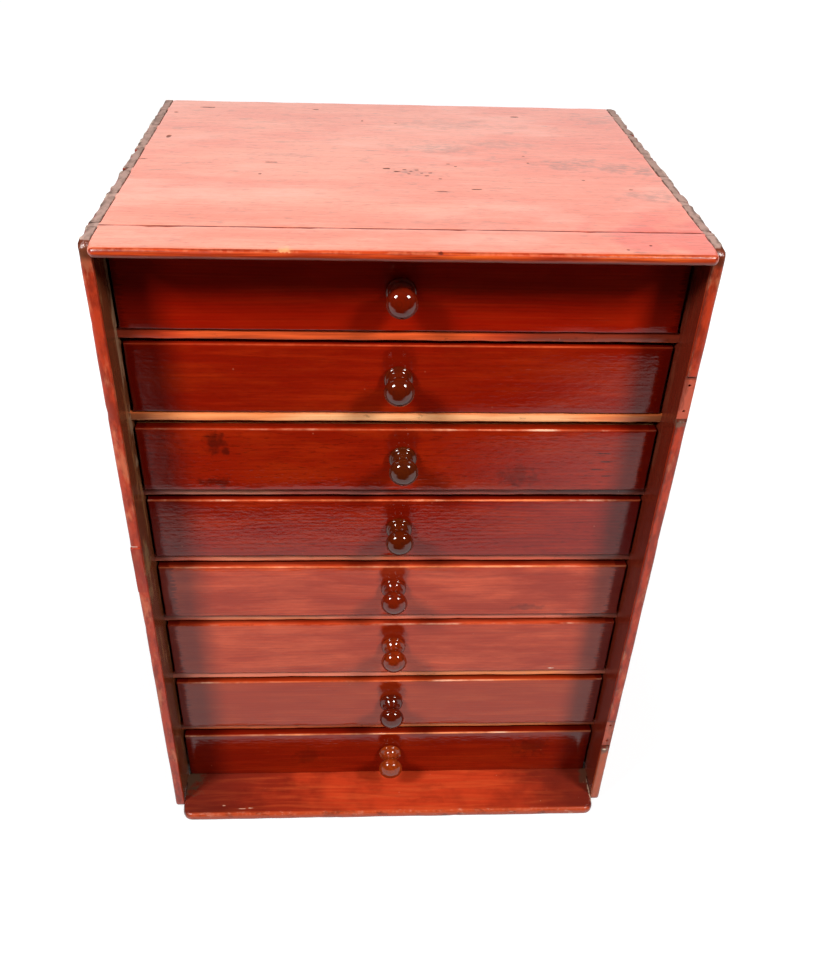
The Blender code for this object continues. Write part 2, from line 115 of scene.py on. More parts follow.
# Grey-brown smudges on the top, given in the same way.
TOP_SMUDGES = (
    (0.012, -0.017, 0.018, 0.009, 1.0), (0.141, 0.007, 0.034, 0.016, 0.9), (0.178, 0.0, 0.028, 0.013, 0.9),
    (0.196, -0.006, 0.014, 0.012, 0.9), (0.188, 0.141, 0.03, 0.02, 0.6), (0.187, -0.067, 0.026, 0.018, 0.75),
    (0.035, 0.045, 0.045, 0.018, 0.6), (0.155, -0.176, 0.008, 0.003, 0.7), (-0.09, 0.02, 0.03, 0.008, 0.3),
    (0.09, 0.06, 0.035, 0.014, 0.5), (0.05, 0.12, 0.07, 0.02, 0.4), (0.03, -0.125, 0.05, 0.008, 0.35),
)

# How far the figure moves on from one board to the next, so that no two boards look alike.
BOARD_SHIFT = (0.731, 0.417, 0.293)

# The turn that lays each grain direction along X.
GRAIN_TURNS = {
    "X": (0.0, 0.0, 0.0),
    "Y": (0.0, 0.0, math.radians(-90)),
    "Z": (0.0, math.radians(90), 0.0),
}


def linear(hex_colour):
    """Turn an sRGB hex colour into the linear colour that a shader takes."""
    channels = []
    for start in (1, 3, 5):
        value = int(hex_colour[start:start + 2], 16) / 255
        channels.append(value / 12.92 if value <= 0.04045 else ((value + 0.055) / 1.055) ** 2.4)
    return (*channels, 1.0)


def add_node(tree, kind, links=None, **settings):
    """Add a node, set it up, and link or set its inputs; a node given for an input means its first output."""
    node = tree.nodes.new(kind)
    for setting, value in settings.items():
        setattr(node, setting, value)
    for socket, value in (links or {}).items():
        if isinstance(value, bpy.types.Node):
            value = value.outputs[0]
        if isinstance(value, bpy.types.NodeSocket):
            tree.links.new(value, node.inputs[socket])
        else:
            node.inputs[socket].default_value = value
    return node


def new_tree(name, kind, inputs, outputs):
    """A node group with named inputs and outputs, and its two end nodes."""
    tree = bpy.data.node_groups.new(name, kind)
    for in_out, sockets in (("INPUT", inputs), ("OUTPUT", outputs)):
        for label, socket in sockets.items():
            tree.interface.new_socket(label, in_out=in_out, socket_type=f"NodeSocket{socket}")
    return tree, tree.nodes.new("NodeGroupInput").outputs, tree.nodes.new("NodeGroupOutput")


# Patterns that the finishes share

def latewood_bands(tree, place, given):
    """How dark a board is in each of its rings, which lie round a pith that leans along the board."""
    centred = add_node(tree, "ShaderNodeVectorMath", {0: place, 1: given["Pith"]}, operation="SUBTRACT")
    axes = add_node(tree, "ShaderNodeSeparateXYZ", {0: centred})
    leaning = add_node(
        tree, "ShaderNodeMath", {0: axes.outputs["X"], 1: given["Lean"], 2: axes.outputs["Y"]},
        operation="MULTIPLY_ADD")
    section = add_node(tree, "ShaderNodeCombineXYZ", {"Y": leaning, "Z": axes.outputs["Z"]})
    radius = add_node(tree, "ShaderNodeVectorMath", {0: section}, operation="LENGTH")
    rings = add_node(
        tree, "ShaderNodeMath", {0: radius.outputs["Value"], 1: given["Ring Width"]}, operation="DIVIDE")
    # A ring darkens slowly over most of its width and ends sharply, and some years are darker than others.
    phase = add_node(tree, "ShaderNodeMath", {0: rings}, operation="FRACT")
    rise = add_node(tree, "ShaderNodeMapRange", {
        "Value": phase, "From Min": 0.2, "From Max": 0.88}, interpolation_type="SMOOTHSTEP")
    fall = add_node(tree, "ShaderNodeMapRange", {
        "Value": phase, "From Min": 0.88, "From Max": 1.0, "To Min": 1.0, "To Max": 0.0},
        interpolation_type="SMOOTHSTEP")
    year = add_node(tree, "ShaderNodeMath", {0: rings}, operation="FLOOR")
    vigour = add_node(tree, "ShaderNodeTexWhiteNoise", {"W": year}, noise_dimensions="1D")
    depth = add_node(
        tree, "ShaderNodeMath", {0: vigour.outputs["Value"], 1: 0.65, 2: 0.35}, operation="MULTIPLY_ADD")
    band = add_node(tree, "ShaderNodeMath", {0: rise, 1: fall}, operation="MULTIPLY")
    return add_node(tree, "ShaderNodeMath", {0: band, 1: depth}, operation="MULTIPLY")


def ring_tree():
    """The figure of a sawn pine board: rings round a pith, fine fibres and slow clouds of stain."""
    tree, given, result = new_tree("pine_growth_rings", "ShaderNodeTree", {
        "Place": "Vector", "Shift": "Vector", "Pith": "Vector", "Lean": "Float", "Ring Width": "Float",
        "Warp": "Float"}, dict.fromkeys(("Latewood", "Fibre", "Cloud", "Streak", "Pore"), "Float"))
    shifted = add_node(tree, "ShaderNodeVectorMath", {0: given["Place"], 1: given["Shift"]}, operation="ADD")
    # The rings wander by a few millimetres over about 200 mm of length and 30 mm of width.
    slow = add_node(tree, "ShaderNodeVectorMath", {0: shifted, 1: (5, 32, 32)}, operation="MULTIPLY")
    drift = add_node(tree, "ShaderNodeTexNoise", {"Vector": slow, "Scale": 1, "Detail": 2.5})
    level = add_node(
        tree, "ShaderNodeVectorMath", {0: drift.outputs["Color"], 1: (0.5, 0.5, 0.5)}, operation="SUBTRACT")
    warp = add_node(tree, "ShaderNodeVectorMath", {0: level, "Scale": given["Warp"]}, operation="SCALE")
    bent = add_node(tree, "ShaderNodeVectorMath", {0: given["Place"], 1: warp}, operation="ADD")
    latewood = latewood_bands(tree, bent, given)
    tree.links.new(latewood.outputs[0], result.inputs["Latewood"])
    # Fibres about 1.5 mm apart and 60 mm long: real ones are finer, and these still show in the render.
    fine = add_node(tree, "ShaderNodeVectorMath", {0: shifted, 1: (16, 650, 650)}, operation="MULTIPLY")
    # Stain takes unevenly in clouds some 120 mm long and 40 mm wide.
    broad = add_node(tree, "ShaderNodeVectorMath", {0: shifted, 1: (8, 26, 26)}, operation="MULTIPLY")
    # Soft streaks some 90 mm long and 5 mm wide, where the wood drank less stain.
    long = add_node(tree, "ShaderNodeVectorMath", {0: bent, 1: (11, 190, 190)}, operation="MULTIPLY")
    moved = add_node(tree, "ShaderNodeVectorMath", {0: long, 1: given["Shift"]}, operation="ADD")
    # Open pores: dark dashes about 8 mm long and half a millimetre wide.
    short = add_node(tree, "ShaderNodeVectorMath", {0: shifted, 1: (120, 1100, 1100)}, operation="MULTIPLY")
    # The noise behind each of these: its place, detail and roughness, and the levels that it is cut between.
    noises = {
        "Fibre": (fine, 4, 0.62, 0.3, 0.7),
        "Cloud": (broad, 3, 0.5, 0.38, 0.68),
        "Streak": (moved, 4, 0.6, 0.46, 0.7),
        "Pore": (short, 1, 0.5, 0.6, 0.68),
    }
    for label, (place, detail, roughness, low, high) in noises.items():
        cloud = add_node(tree, "ShaderNodeTexNoise", {
            "Vector": place, "Scale": 1, "Detail": detail, "Roughness": roughness})
        mask = add_node(tree, "ShaderNodeMapRange", {
            "Value": cloud.outputs["Fac"], "From Min": low, "From Max": high},
            interpolation_type="SMOOTHSTEP")
        tree.links.new(mask.outputs[0], result.inputs[label])
    return tree


def nearest_limit(tree, place, low, high):
    """How far inside the nearer of two limits a place lies, on each axis."""
    from_low = add_node(tree, "ShaderNodeVectorMath", {0: place, 1: low}, operation="SUBTRACT")
    from_high = add_node(tree, "ShaderNodeVectorMath", {0: high, 1: place}, operation="SUBTRACT")
    return add_node(tree, "ShaderNodeVectorMath", {0: from_low, 1: from_high}, operation="MINIMUM")


def arris_tree():
    """How close a point on a board lies to one of its edges: 1 on the arris, 0 further off than the reach."""
    tree, given, result = new_tree("board_arris", "ShaderNodeTree", {
        "Place": "Vector", "Low": "Vector", "High": "Vector", "Reach": "Float", "Start": "Float",
        "Full": "Float"}, {"Arris": "Float"})
    nearest = nearest_limit(tree, given["Place"], given["Low"], given["High"])
    # The rubbed line is ragged over about 4 mm.
    ragged = add_node(tree, "ShaderNodeTexNoise", {"Vector": given["Place"], "Scale": 260, "Detail": 3})
    stretch = add_node(tree, "ShaderNodeMath", {0: ragged.outputs["Fac"], 1: 2.0}, operation="MULTIPLY")
    reach = add_node(tree, "ShaderNodeMath", {0: stretch, 1: given["Reach"]}, operation="MULTIPLY")
    share = add_node(tree, "ShaderNodeVectorMath", {0: nearest, 1: reach}, operation="DIVIDE")
    closeness = add_node(tree, "ShaderNodeVectorMath", {0: (1, 1, 1), 1: share}, operation="SUBTRACT")
    kept = add_node(tree, "ShaderNodeVectorMath", {0: closeness, 1: (0, 0, 0)}, operation="MAXIMUM")
    # A point on a face is close to one limit, and a point on an arris to two.
    total = add_node(tree, "ShaderNodeVectorMath", {0: kept, 1: (1, 1, 1)}, operation="DOT_PRODUCT")
    beyond = add_node(
        tree, "ShaderNodeMath", {0: total.outputs["Value"], 1: 1.0}, operation="SUBTRACT", use_clamp=True)
    line = add_node(tree, "ShaderNodeMapRange", {
        "Value": beyond, "From Min": given["Start"], "From Max": given["Full"]},
        interpolation_type="SMOOTHSTEP")
    tree.links.new(line.outputs[0], result.inputs["Arris"])
    return tree


def zone_tree():
    """Part of a board between two corners: 1 inside, falling to 0 across its border by the given fade."""
    tree, given, result = new_tree("board_zone", "ShaderNodeTree", {
        "Place": "Vector", "Low": "Vector", "High": "Vector", "Fade": "Float"}, {"Zone": "Float"})
    nearest = nearest_limit(tree, given["Place"], given["Low"], given["High"])
    share = add_node(tree, "ShaderNodeVectorMath", {0: nearest, 1: given["Fade"]}, operation="DIVIDE")
    lifted = add_node(tree, "ShaderNodeVectorMath", {0: share, 1: (0.5, 0.5, 0.5)}, operation="ADD")
    kept = add_node(tree, "ShaderNodeVectorMath", {0: lifted, 1: (0, 0, 0)}, operation="MAXIMUM")
    capped = add_node(tree, "ShaderNodeVectorMath", {0: kept, 1: (1, 1, 1)}, operation="MINIMUM")
    axes = add_node(tree, "ShaderNodeSeparateXYZ", {0: capped})
    level = add_node(
        tree, "ShaderNodeMath", {0: axes.outputs["X"], 1: axes.outputs["Y"]}, operation="MULTIPLY")
    inside = add_node(tree, "ShaderNodeMath", {0: level, 1: axes.outputs["Z"]}, operation="MULTIPLY")
    soft = add_node(tree, "ShaderNodeMapRange", {"Value": inside}, interpolation_type="SMOOTHSTEP")
    tree.links.new(soft.outputs[0], result.inputs["Zone"])
    return tree


def mark_tree():
    """One mark on a board: 1 inside an oval of the given half sizes, fading raggedly to 0 outside it."""
    tree, given, result = new_tree("board_mark", "ShaderNodeTree", {
        "Place": "Vector", "Centre": "Vector", "Half Size": "Vector", "Torn": "Float", "Core": "Float",
        "Strength": "Float"}, {"Mark": "Float"})
    offset = add_node(
        tree, "ShaderNodeVectorMath", {0: given["Place"], 1: given["Centre"]}, operation="SUBTRACT")
    share = add_node(tree, "ShaderNodeVectorMath", {0: offset, 1: given["Half Size"]}, operation="DIVIDE")
    distance = add_node(tree, "ShaderNodeVectorMath", {0: share}, operation="LENGTH")
    ragged = add_node(
        tree, "ShaderNodeMath", {0: distance.outputs["Value"], 1: given["Torn"]}, operation="ADD")
    mark = add_node(tree, "ShaderNodeMapRange", {
        "Value": ragged, "From Min": 1.1, "From Max": given["Core"], "To Max": given["Strength"]},
        interpolation_type="SMOOTHSTEP")
    tree.links.new(mark.outputs[0], result.inputs["Mark"])
    return tree


def blotch_tree():
    """Uneven patches of dirt or wear: noise stretched on each axis and cut between two levels."""
    tree, given, result = new_tree("blotches", "ShaderNodeTree", {
        "Place": "Vector", "Stretch": "Vector", "Low": "Float", "High": "Float"}, {"Blotch": "Float"})
    laid = add_node(
        tree, "ShaderNodeVectorMath", {0: given["Place"], 1: given["Stretch"]}, operation="MULTIPLY")
    cloud = add_node(tree, "ShaderNodeTexNoise", {"Vector": laid, "Scale": 1, "Detail": 5, "Roughness": 0.65})
    patch = add_node(tree, "ShaderNodeMapRange", {
        "Value": cloud.outputs["Fac"], "From Min": given["Low"], "From Max": given["High"]},
        interpolation_type="SMOOTHSTEP")
    tree.links.new(patch.outputs[0], result.inputs["Blotch"])
    return tree


def speck_tree():
    """Tiny dust nibs and chips scattered over a surface, on a share of cells of the given spacing."""
    tree, given, result = new_tree("specks", "ShaderNodeTree", {
        "Place": "Vector", "Spacing": "Float", "Share": "Float"}, {"Speck": "Float"})
    scale = add_node(tree, "ShaderNodeMath", {0: 1.0, 1: given["Spacing"]}, operation="DIVIDE")
    cells = add_node(tree, "ShaderNodeTexVoronoi", {"Vector": given["Place"], "Scale": scale})
    dot = add_node(tree, "ShaderNodeMapRange", {
        "Value": cells.outputs["Distance"], "From Min": 0.07, "From Max": 0.03},
        interpolation_type="SMOOTHSTEP")
    chance = add_node(tree, "ShaderNodeSeparateColor", {0: cells.outputs["Color"]})
    chosen = add_node(tree, "ShaderNodeMath", {0: chance, 1: given["Share"]}, operation="LESS_THAN")
    speck = add_node(tree, "ShaderNodeMath", {0: dot, 1: chosen}, operation="MULTIPLY")
    tree.links.new(speck.outputs[0], result.inputs["Speck"])
    return tree


def brush_tree():
    """The slight waves that a brush leaves in thick varnish, about 7 mm long and 3 mm wide."""
    tree, given, result = new_tree("brush_marks", "ShaderNodeTree", {
        "Place": "Vector", "Seed": "Float"}, {"Wave": "Float"})
    shifted = add_node(tree, "ShaderNodeVectorMath", {0: given["Place"], 1: given["Seed"]}, operation="ADD")
    laid = add_node(tree, "ShaderNodeVectorMath", {0: shifted, 1: (150, 300, 330)}, operation="MULTIPLY")
    wave = add_node(tree, "ShaderNodeTexNoise", {"Vector": laid, "Scale": 1, "Detail": 2})
    tree.links.new(wave.outputs["Fac"], result.inputs["Wave"])
    return tree


def joint_tree():
    """The dark lines along both flanks of each dovetail pin, from the front to the back of the case."""
    tree, given, result = new_tree("dovetail_joints", "ShaderNodeTree", {
        "Place": "Vector", "Front": "Float", "Pitch": "Float", "Half Pin": "Float", "Line": "Float"},
        {"Joint": "Float"})
    axes = add_node(tree, "ShaderNodeSeparateXYZ", {0: given["Place"]})
    behind = add_node(tree, "ShaderNodeMath", {0: axes.outputs["Y"], 1: given["Front"]}, operation="SUBTRACT")
    within = add_node(tree, "ShaderNodeMath", {0: behind, 1: given["Pitch"]}, operation="FLOORED_MODULO")
    middle = add_node(tree, "ShaderNodeMath", {0: given["Pitch"], 1: 0.5}, operation="MULTIPLY")
    offset = add_node(tree, "ShaderNodeMath", {0: within, 1: middle}, operation="SUBTRACT")
    reach = add_node(tree, "ShaderNodeMath", {0: offset}, operation="ABSOLUTE")
    near = add_node(
        tree, "ShaderNodeMath", {0: reach, 1: given["Half Pin"], 2: given["Line"]}, operation="COMPARE")
    tree.links.new(near.outputs[0], result.inputs["Joint"])
    return tree


PATTERN_MAKERS = {
    "rings": ring_tree, "arris": arris_tree, "zone": zone_tree, "mark": mark_tree, "blotches": blotch_tree,
    "specks": speck_tree, "brush": brush_tree, "joints": joint_tree,
}
PATTERNS = {}


class Finish:
    """A material in the making, whose patterns all read the piece's Object coordinates in metres."""

    def __init__(self, name):
        self.material = bpy.data.materials.new(name)
        self.material.use_nodes = True
        self.tree = self.material.node_tree
        self.shader = self.tree.nodes["Principled BSDF"]
        self.place = add_node(self.tree, "ShaderNodeTexCoord").outputs["Object"]

    def pattern(self, name, **inputs):
        """Lay a shared pattern on the piece, and return its mask, or all its masks where it has several."""
        if name not in PATTERNS:
            PATTERNS[name] = PATTERN_MAKERS[name]()
        links = {"Place": self.place}
        links.update((label.replace("_", " "), value) for label, value in inputs.items())
        masks = add_node(self.tree, "ShaderNodeGroup", links, node_tree=PATTERNS[name]).outputs
        return masks[0] if len(masks) == 1 else masks

    def figure(self, node, grain, seed, pith, lean, ring_width, warp):
        """The growth rings of one board, centred on the board and laid along its grain."""
        low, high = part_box(node)
        centre = add_node(
            self.tree, "ShaderNodeVectorMath", {0: self.place, 1: (low + high) / 2}, operation="SUBTRACT")
        along = add_node(self.tree, "ShaderNodeMapping", {"Vector": centre, "Rotation": GRAIN_TURNS[grain]})
        return self.pattern(
            "rings", Place=along, Shift=[seed * step for step in BOARD_SHIFT], Pith=pith, Lean=lean,
            Ring_Width=ring_width, Warp=warp)

    def edge(self, node, reach, start, full):
        """The arrises of one board, from where the wear starts to where it is full."""
        low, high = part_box(node)
        return self.pattern("arris", Low=low, High=high, Reach=reach, Start=start, Full=full)

    def zone(self, fade, x=(-FAR, FAR), y=(-FAR, FAR), z=(-FAR, FAR), place=None):
        """The part of a board between limits on each axis, which fades across its border."""
        low, high = zip(x, y, z)
        place = self.place if place is None else place
        return self.pattern("zone", Place=place, Low=low, High=high, Fade=fade)

    def blotches(self, stretch, low, high):
        """Uneven patches, as many to the metre on each axis as the stretch says."""
        return self.pattern("blotches", Stretch=stretch, Low=low, High=high)

    def marks(self, marks, ragged, size, core=0.3):
        """All the marks of one kind on a board, each given as centre, half sizes and strength."""
        rough = add_node(
            self.tree, "ShaderNodeTexNoise", {"Vector": self.place, "Scale": 1 / size, "Detail": 3})
        torn = add_node(self.tree, "ShaderNodeMapRange", {
            "Value": rough.outputs["Fac"], "From Min": 0.25, "From Max": 0.75, "To Min": -ragged,
            "To Max": ragged})
        total = 0.0
        for centre, half_size, strength in marks:
            mark = self.pattern(
                "mark", Centre=centre, Half_Size=half_size, Torn=torn, Core=core, Strength=strength)
            total = add_node(self.tree, "ShaderNodeMath", {0: mark, 1: total}, operation="MAXIMUM")
        return total

    def mark(self, centre, half_size, strength, **outline):
        """One mark alone on a board."""
        return self.marks([(centre, half_size, strength)], **outline)

    def lay(self, colour, *layers):
        """Lay colours over one another, each as strong as its share where all its masks are 1."""
        for over, share, *masks in layers:
            for mask in masks:
                share = add_node(self.tree, "ShaderNodeMath", {0: mask, 1: share}, operation="MULTIPLY")
            blend = add_node(
                self.tree, "ShaderNodeMix", {0: share, 6: colour, 7: linear(over)}, data_type="RGBA")
            colour = blend.outputs[2]
        return colour

    def coat(self, colour, sheen, dull=None, where=None, specular=0.5):
        """Give the surface its colour, its gloss and its roughness, from sheen to dull where a mask says."""
        self.tree.links.new(colour, self.shader.inputs["Base Color"])
        self.shader.inputs["Specular IOR Level"].default_value = specular
        if where is None:
            self.shader.inputs["Roughness"].default_value = sheen
        else:
            rough = add_node(
                self.tree, "ShaderNodeMapRange", {"Value": where, "To Min": sheen, "To Max": dull})
            self.tree.links.new(rough.outputs[0], self.shader.inputs["Roughness"])

    def relief(self, *heights):
        """Bump from several heights, each with its own depth in metres."""
        links = {}
        for height, depth in heights:
            bump = add_node(
                self.tree, "ShaderNodeBump", {"Height": height, "Distance": depth, "Strength": 1.0, **links})
            links = {"Normal": bump}
        self.tree.links.new(bump.outputs[0], self.shader.inputs["Normal"])


# Finishes

def marks_on_front(face, table):
    """Marks given as x, z, half sizes and strength, set on a front whose face has this y."""
    return [
        ((x, face, z), (half_x, MARK_DEPTH, half_z), strength)
        for x, z, half_x, half_z, strength in table]


def marks_on_top(table):
    """Marks given as x, y, half sizes and strength, set on the top of the case."""
    return [
        ((x, y, CASE_TOP), (half_x, half_y, MARK_DEPTH), strength)
        for x, y, half_x, half_y, strength in table]


def shaded_end_strips(wood, left, right):
    """Painted shade at both ends, where the case sides shade the front and mirror dark in its gloss, in teeth
    about 2 mm high that reach 3.5 mm either way.
    """
    tooth = 0.007
    teeth = wood.blotches((25, 1, 560), 0.33, 0.67)
    reach = add_node(
        wood.tree, "ShaderNodeMath", {0: teeth, 1: tooth, 2: -tooth / 2}, operation="MULTIPLY_ADD")
    push = add_node(wood.tree, "ShaderNodeCombineXYZ", {"X": reach})
    torn = add_node(wood.tree, "ShaderNodeVectorMath", {0: wood.place, 1: push}, operation="ADD")
    from_left = wood.zone(0.0012, x=(-FAR, left), place=torn)
    from_right = wood.zone(0.0012, x=(right, FAR), place=torn)
    return add_node(wood.tree, "ShaderNodeMath", {0: from_left, 1: from_right}, operation="MAXIMUM")


def stained_front(number, look):
    """Pine stained red and varnished by brush: deep red-brown under wet gloss, pale on its rubbed edge.

    Its ends and the top face behind its upper edge carry painted shade, that edge a painted highlight, and
    the front above the knob a painted dark reflection of the knob.
    """
    node = f"drawer_{number}_front"
    wood = Finish(f"varnished_stained_pine_front_{number}")
    low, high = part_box(node)
    figure = wood.figure(
        node, "X", seed=number + 3, pith=look["pith"], lean=look["lean"], ring_width=look["ring"],
        warp=look["warp"])
    edge = wood.edge(node, reach=0.0022, start=0.42, full=0.7)
    # The upper arris: rubbed pale, and also carrying a painted highlight.
    crest_wear_and_highlight = wood.zone(0.0008, y=(-FAR, low.y + 0.0012), z=(high.z - 0.0011, FAR))
    # Painted shadow of the rail above on the front's top face, fading towards the front.
    lip_shadow = wood.zone(0.004, y=(low.y + 0.0026, FAR), z=(high.z - 0.0006, FAR))
    worn = wood.blotches((13, 1, 1), 0.38, 0.6)
    chipped = wood.blotches((16, 30, 30), 0.48, 0.64)
    middle = wood.zone(0.06, x=(-0.13, 0.13))
    # Painted shade at both ends, deepening the shadows that the case sides cast on the front.
    left_end = wood.zone(0.03, x=(-FAR, low.x + 0.036))
    right_end = wood.zone(0.026, x=(high.x - 0.026, FAR))
    bare = wood.zone(0.001, y=(high.y - 0.003, FAR))
    patches = wood.blotches((12, 40, 55), 0.4, 0.74)
    # Painted shade in a ragged strip at each end, where the case sides shade the front and mirror dark in its
    # gloss.
    end_strip_shade = shaded_end_strips(wood, low.x + look["end_strip_reach"][0], high.x - look["end_strip_reach"][1])
    # A painted dark reflection of the knob lies on the front above it, where the knob hides the bright floor
    # from the gloss.
    knob = sum(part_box(f"drawer_{number}_knob"), Vector()) / 2
    knob_reflection = wood.mark(
        (knob.x, low.y, knob.z + 0.013), (0.015, MARK_DEPTH, 0.019), 1.0, ragged=0.15, size=0.004, core=0.6)
    pale = wood.marks(marks_on_front(low.y, look["pale"]), ragged=0.4, size=0.002)
    marks = wood.marks(marks_on_front(low.y, look["marks"]), ragged=0.5, size=0.006)
    colour = wood.lay(
        linear(look["early"]),
        (look["cloud_tone"], look["cloud"], figure["Cloud"]),
        (look["streak_tone"], look["streak"], figure["Streak"]),
        (look["patch_tone"], look["patch"], patches),
        (look["late"], look["lines"], figure["Latewood"]),
        (look["late"], look["fibre"], figure["Fibre"]),
        ("#2E0602", look["pores"], figure["Pore"]),
        (look["late"], look["ends"], left_end),
        (look["late"], look["ends"], right_end),
        ("#D07858", 0.25, wood.pattern("specks", Spacing=0.014, Share=0.3)),
        ("#560401", 0.72, end_strip_shade),
        ("#640C02", look["knob_reflection"], knob_reflection),
        ("#2A0A06", 1.0, marks),
        ("#F4D8C0", 1.0, pale),
        ("#3A0402", look["lip_shadow"], lip_shadow),
        (look["late"], 0.55, edge),
        (look["rub_and_highlight_tone"], 0.3 * look["rub"], crest_wear_and_highlight),
        (look["rub_and_highlight_tone"], look["rub"], crest_wear_and_highlight, worn, middle),
        ("#FFDCB8", look["chips"], crest_wear_and_highlight, worn, chipped),
        ("#B98A55", 1.0, bare))
    wood.coat(colour, sheen=look["gloss"], dull=0.6, where=bare, specular=0.38)
    wood.relief(
        (figure["Latewood"], 0.00002), (figure["Fibre"], 0.00002),
        (wood.pattern("brush", Seed=number), look["brush"]))
    return wood.material


def end_grain(wood, end, grit, chips, *stains):
    """Layers for the grey end grain of the corner joints: grit, stains, dark joint lines and pale chips."""
    joints = wood.pattern("joints", Front=CASE_FRONT, Pitch=PIN_PITCH, Half_Pin=PIN_HALF, Line=0.0007)
    broken = wood.blotches((150, 150, 150), 0.48, 0.6)
    return [
        ("#B09084", 0.95, end),
        ("#7A6256", 0.5, end, grit),
        *stains,
        ("#2E211B", 0.5, end, joints),
        ("#D8C4B0", 0.9, end, chips, broken),
    ]


def faded_top_with_painted_sheen():
    """The same stain faded by light on the top and paled further with painted sheen: salmon under dull
    varnish, with a glue line and knocks.
    """
    wood = Finish("faded_stained_pine_top_with_painted_sheen")
    low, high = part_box("top_board")
    figure = wood.figure(
        "top_board", "X", seed=1, pith=(0, 0.02, -0.07), lean=0.05, ring_width=0.0045, warp=0.02)
    edge = wood.edge("top_board", reach=0.004, start=0.35, full=0.7)
    upper = wood.zone(0.001, z=(high.z - 0.0017, FAR))
    glue = wood.zone(0.0008, y=(GLUE_LINE - 0.0007, GLUE_LINE + 0.0007))
    broken = wood.blotches((45, 45, 45), 0.36, 0.52)
    knocks = wood.marks(marks_on_top(TOP_KNOCKS), ragged=0.35, size=0.003, core=0.6)
    smudges = wood.marks(marks_on_top(TOP_SMUDGES), ragged=0.6, size=0.012)
    nose = wood.zone(0.001, y=(-FAR, low.y + 0.0024))
    underside = wood.zone(0.002, y=(-FAR, low.y + 0.005), z=(-FAR, high.z - 0.0045))
    redder = wood.zone(0.3, x=(0.06, FAR))
    flush = wood.mark((0.19, -0.15, CASE_TOP), (0.07, 0.05, 0.02), 0.9, ragged=0.6, size=0.02)
    across = add_node(wood.tree, "ShaderNodeVectorMath", {0: wood.place}, operation="ABSOLUTE")
    pins = wood.zone(0.0012, x=(INNER_X, FAR), place=across)
    grit = wood.blotches((160, 90, 120), 0.45, 0.6)
    chips = wood.zone(0.002, x=(OUTER_X - 0.002, FAR), place=across)
    dent = wood.mark(
        (0.021, low.y, high.z - 0.001), (0.0018, MARK_DEPTH, 0.0009), 0.7, ragged=0.3, size=0.002, core=0.6)
    spot = wood.mark(
        (-0.08, low.y, high.z - 0.0005), (0.006, MARK_DEPTH, 0.0014), 0.7, ragged=0.4, size=0.002)
    colour = wood.lay(
        # Painted sheen: the pale salmon ground holds part of the back lamp's gloss on the top.
        linear("#F6967A"),
        ("#EB785C", 0.7, figure["Cloud"]),
        ("#ED6D53", 0.5, redder),
        ("#DC4440", 0.6, flush),
        ("#BC5440", 0.1, figure["Latewood"]),
        ("#FFB098", 0.2, figure["Streak"]),
        ("#C05E48", 0.3, figure["Fibre"]),
        ("#AA4C3A", 0.45, figure["Pore"]),
        ("#FFB8A4", 0.4, wood.blotches((7, 18, 16), 0.48, 0.75)),
        ("#7A5448", 0.7, smudges, wood.blotches((110, 300, 100), 0.3, 0.68)),
        ("#8E5E4E", 0.35, wood.blotches((50, 120, 100), 0.56, 0.72)),
        ("#2C0E0A", 1.0, glue, broken),
        ("#8A2A18", 0.6, glue),
        ("#1E0A08", 1.0, knocks),
        ("#C24014", 1.0, nose),
        ("#D85A18", 0.9, nose, figure["Streak"]),
        ("#6A1204", 0.85, nose, figure["Fibre"]),
        ("#6A1204", 0.6, underside),
        # Painted highlight along the nose's upper arris.
        ("#E88A60", 0.3, edge, nose, upper),
        ("#F4B078", 0.9, spot),
        ("#2A0804", 1.0, dent),
        *end_grain(wood, pins, grit, chips))
    rough = add_node(wood.tree, "ShaderNodeMath", {0: pins, 1: knocks}, operation="MAXIMUM")
    wood.coat(colour, sheen=0.3, dull=0.85, where=rough)
    hollows = add_node(wood.tree, "ShaderNodeMath", {0: 1.0, 1: knocks}, operation="SUBTRACT")
    wood.relief(
        (figure["Fibre"], 0.00002), (wood.pattern("brush", Seed=1), 0.00005), (hollows, 0.0004),
        (grit, 0.00004))
    return wood.material


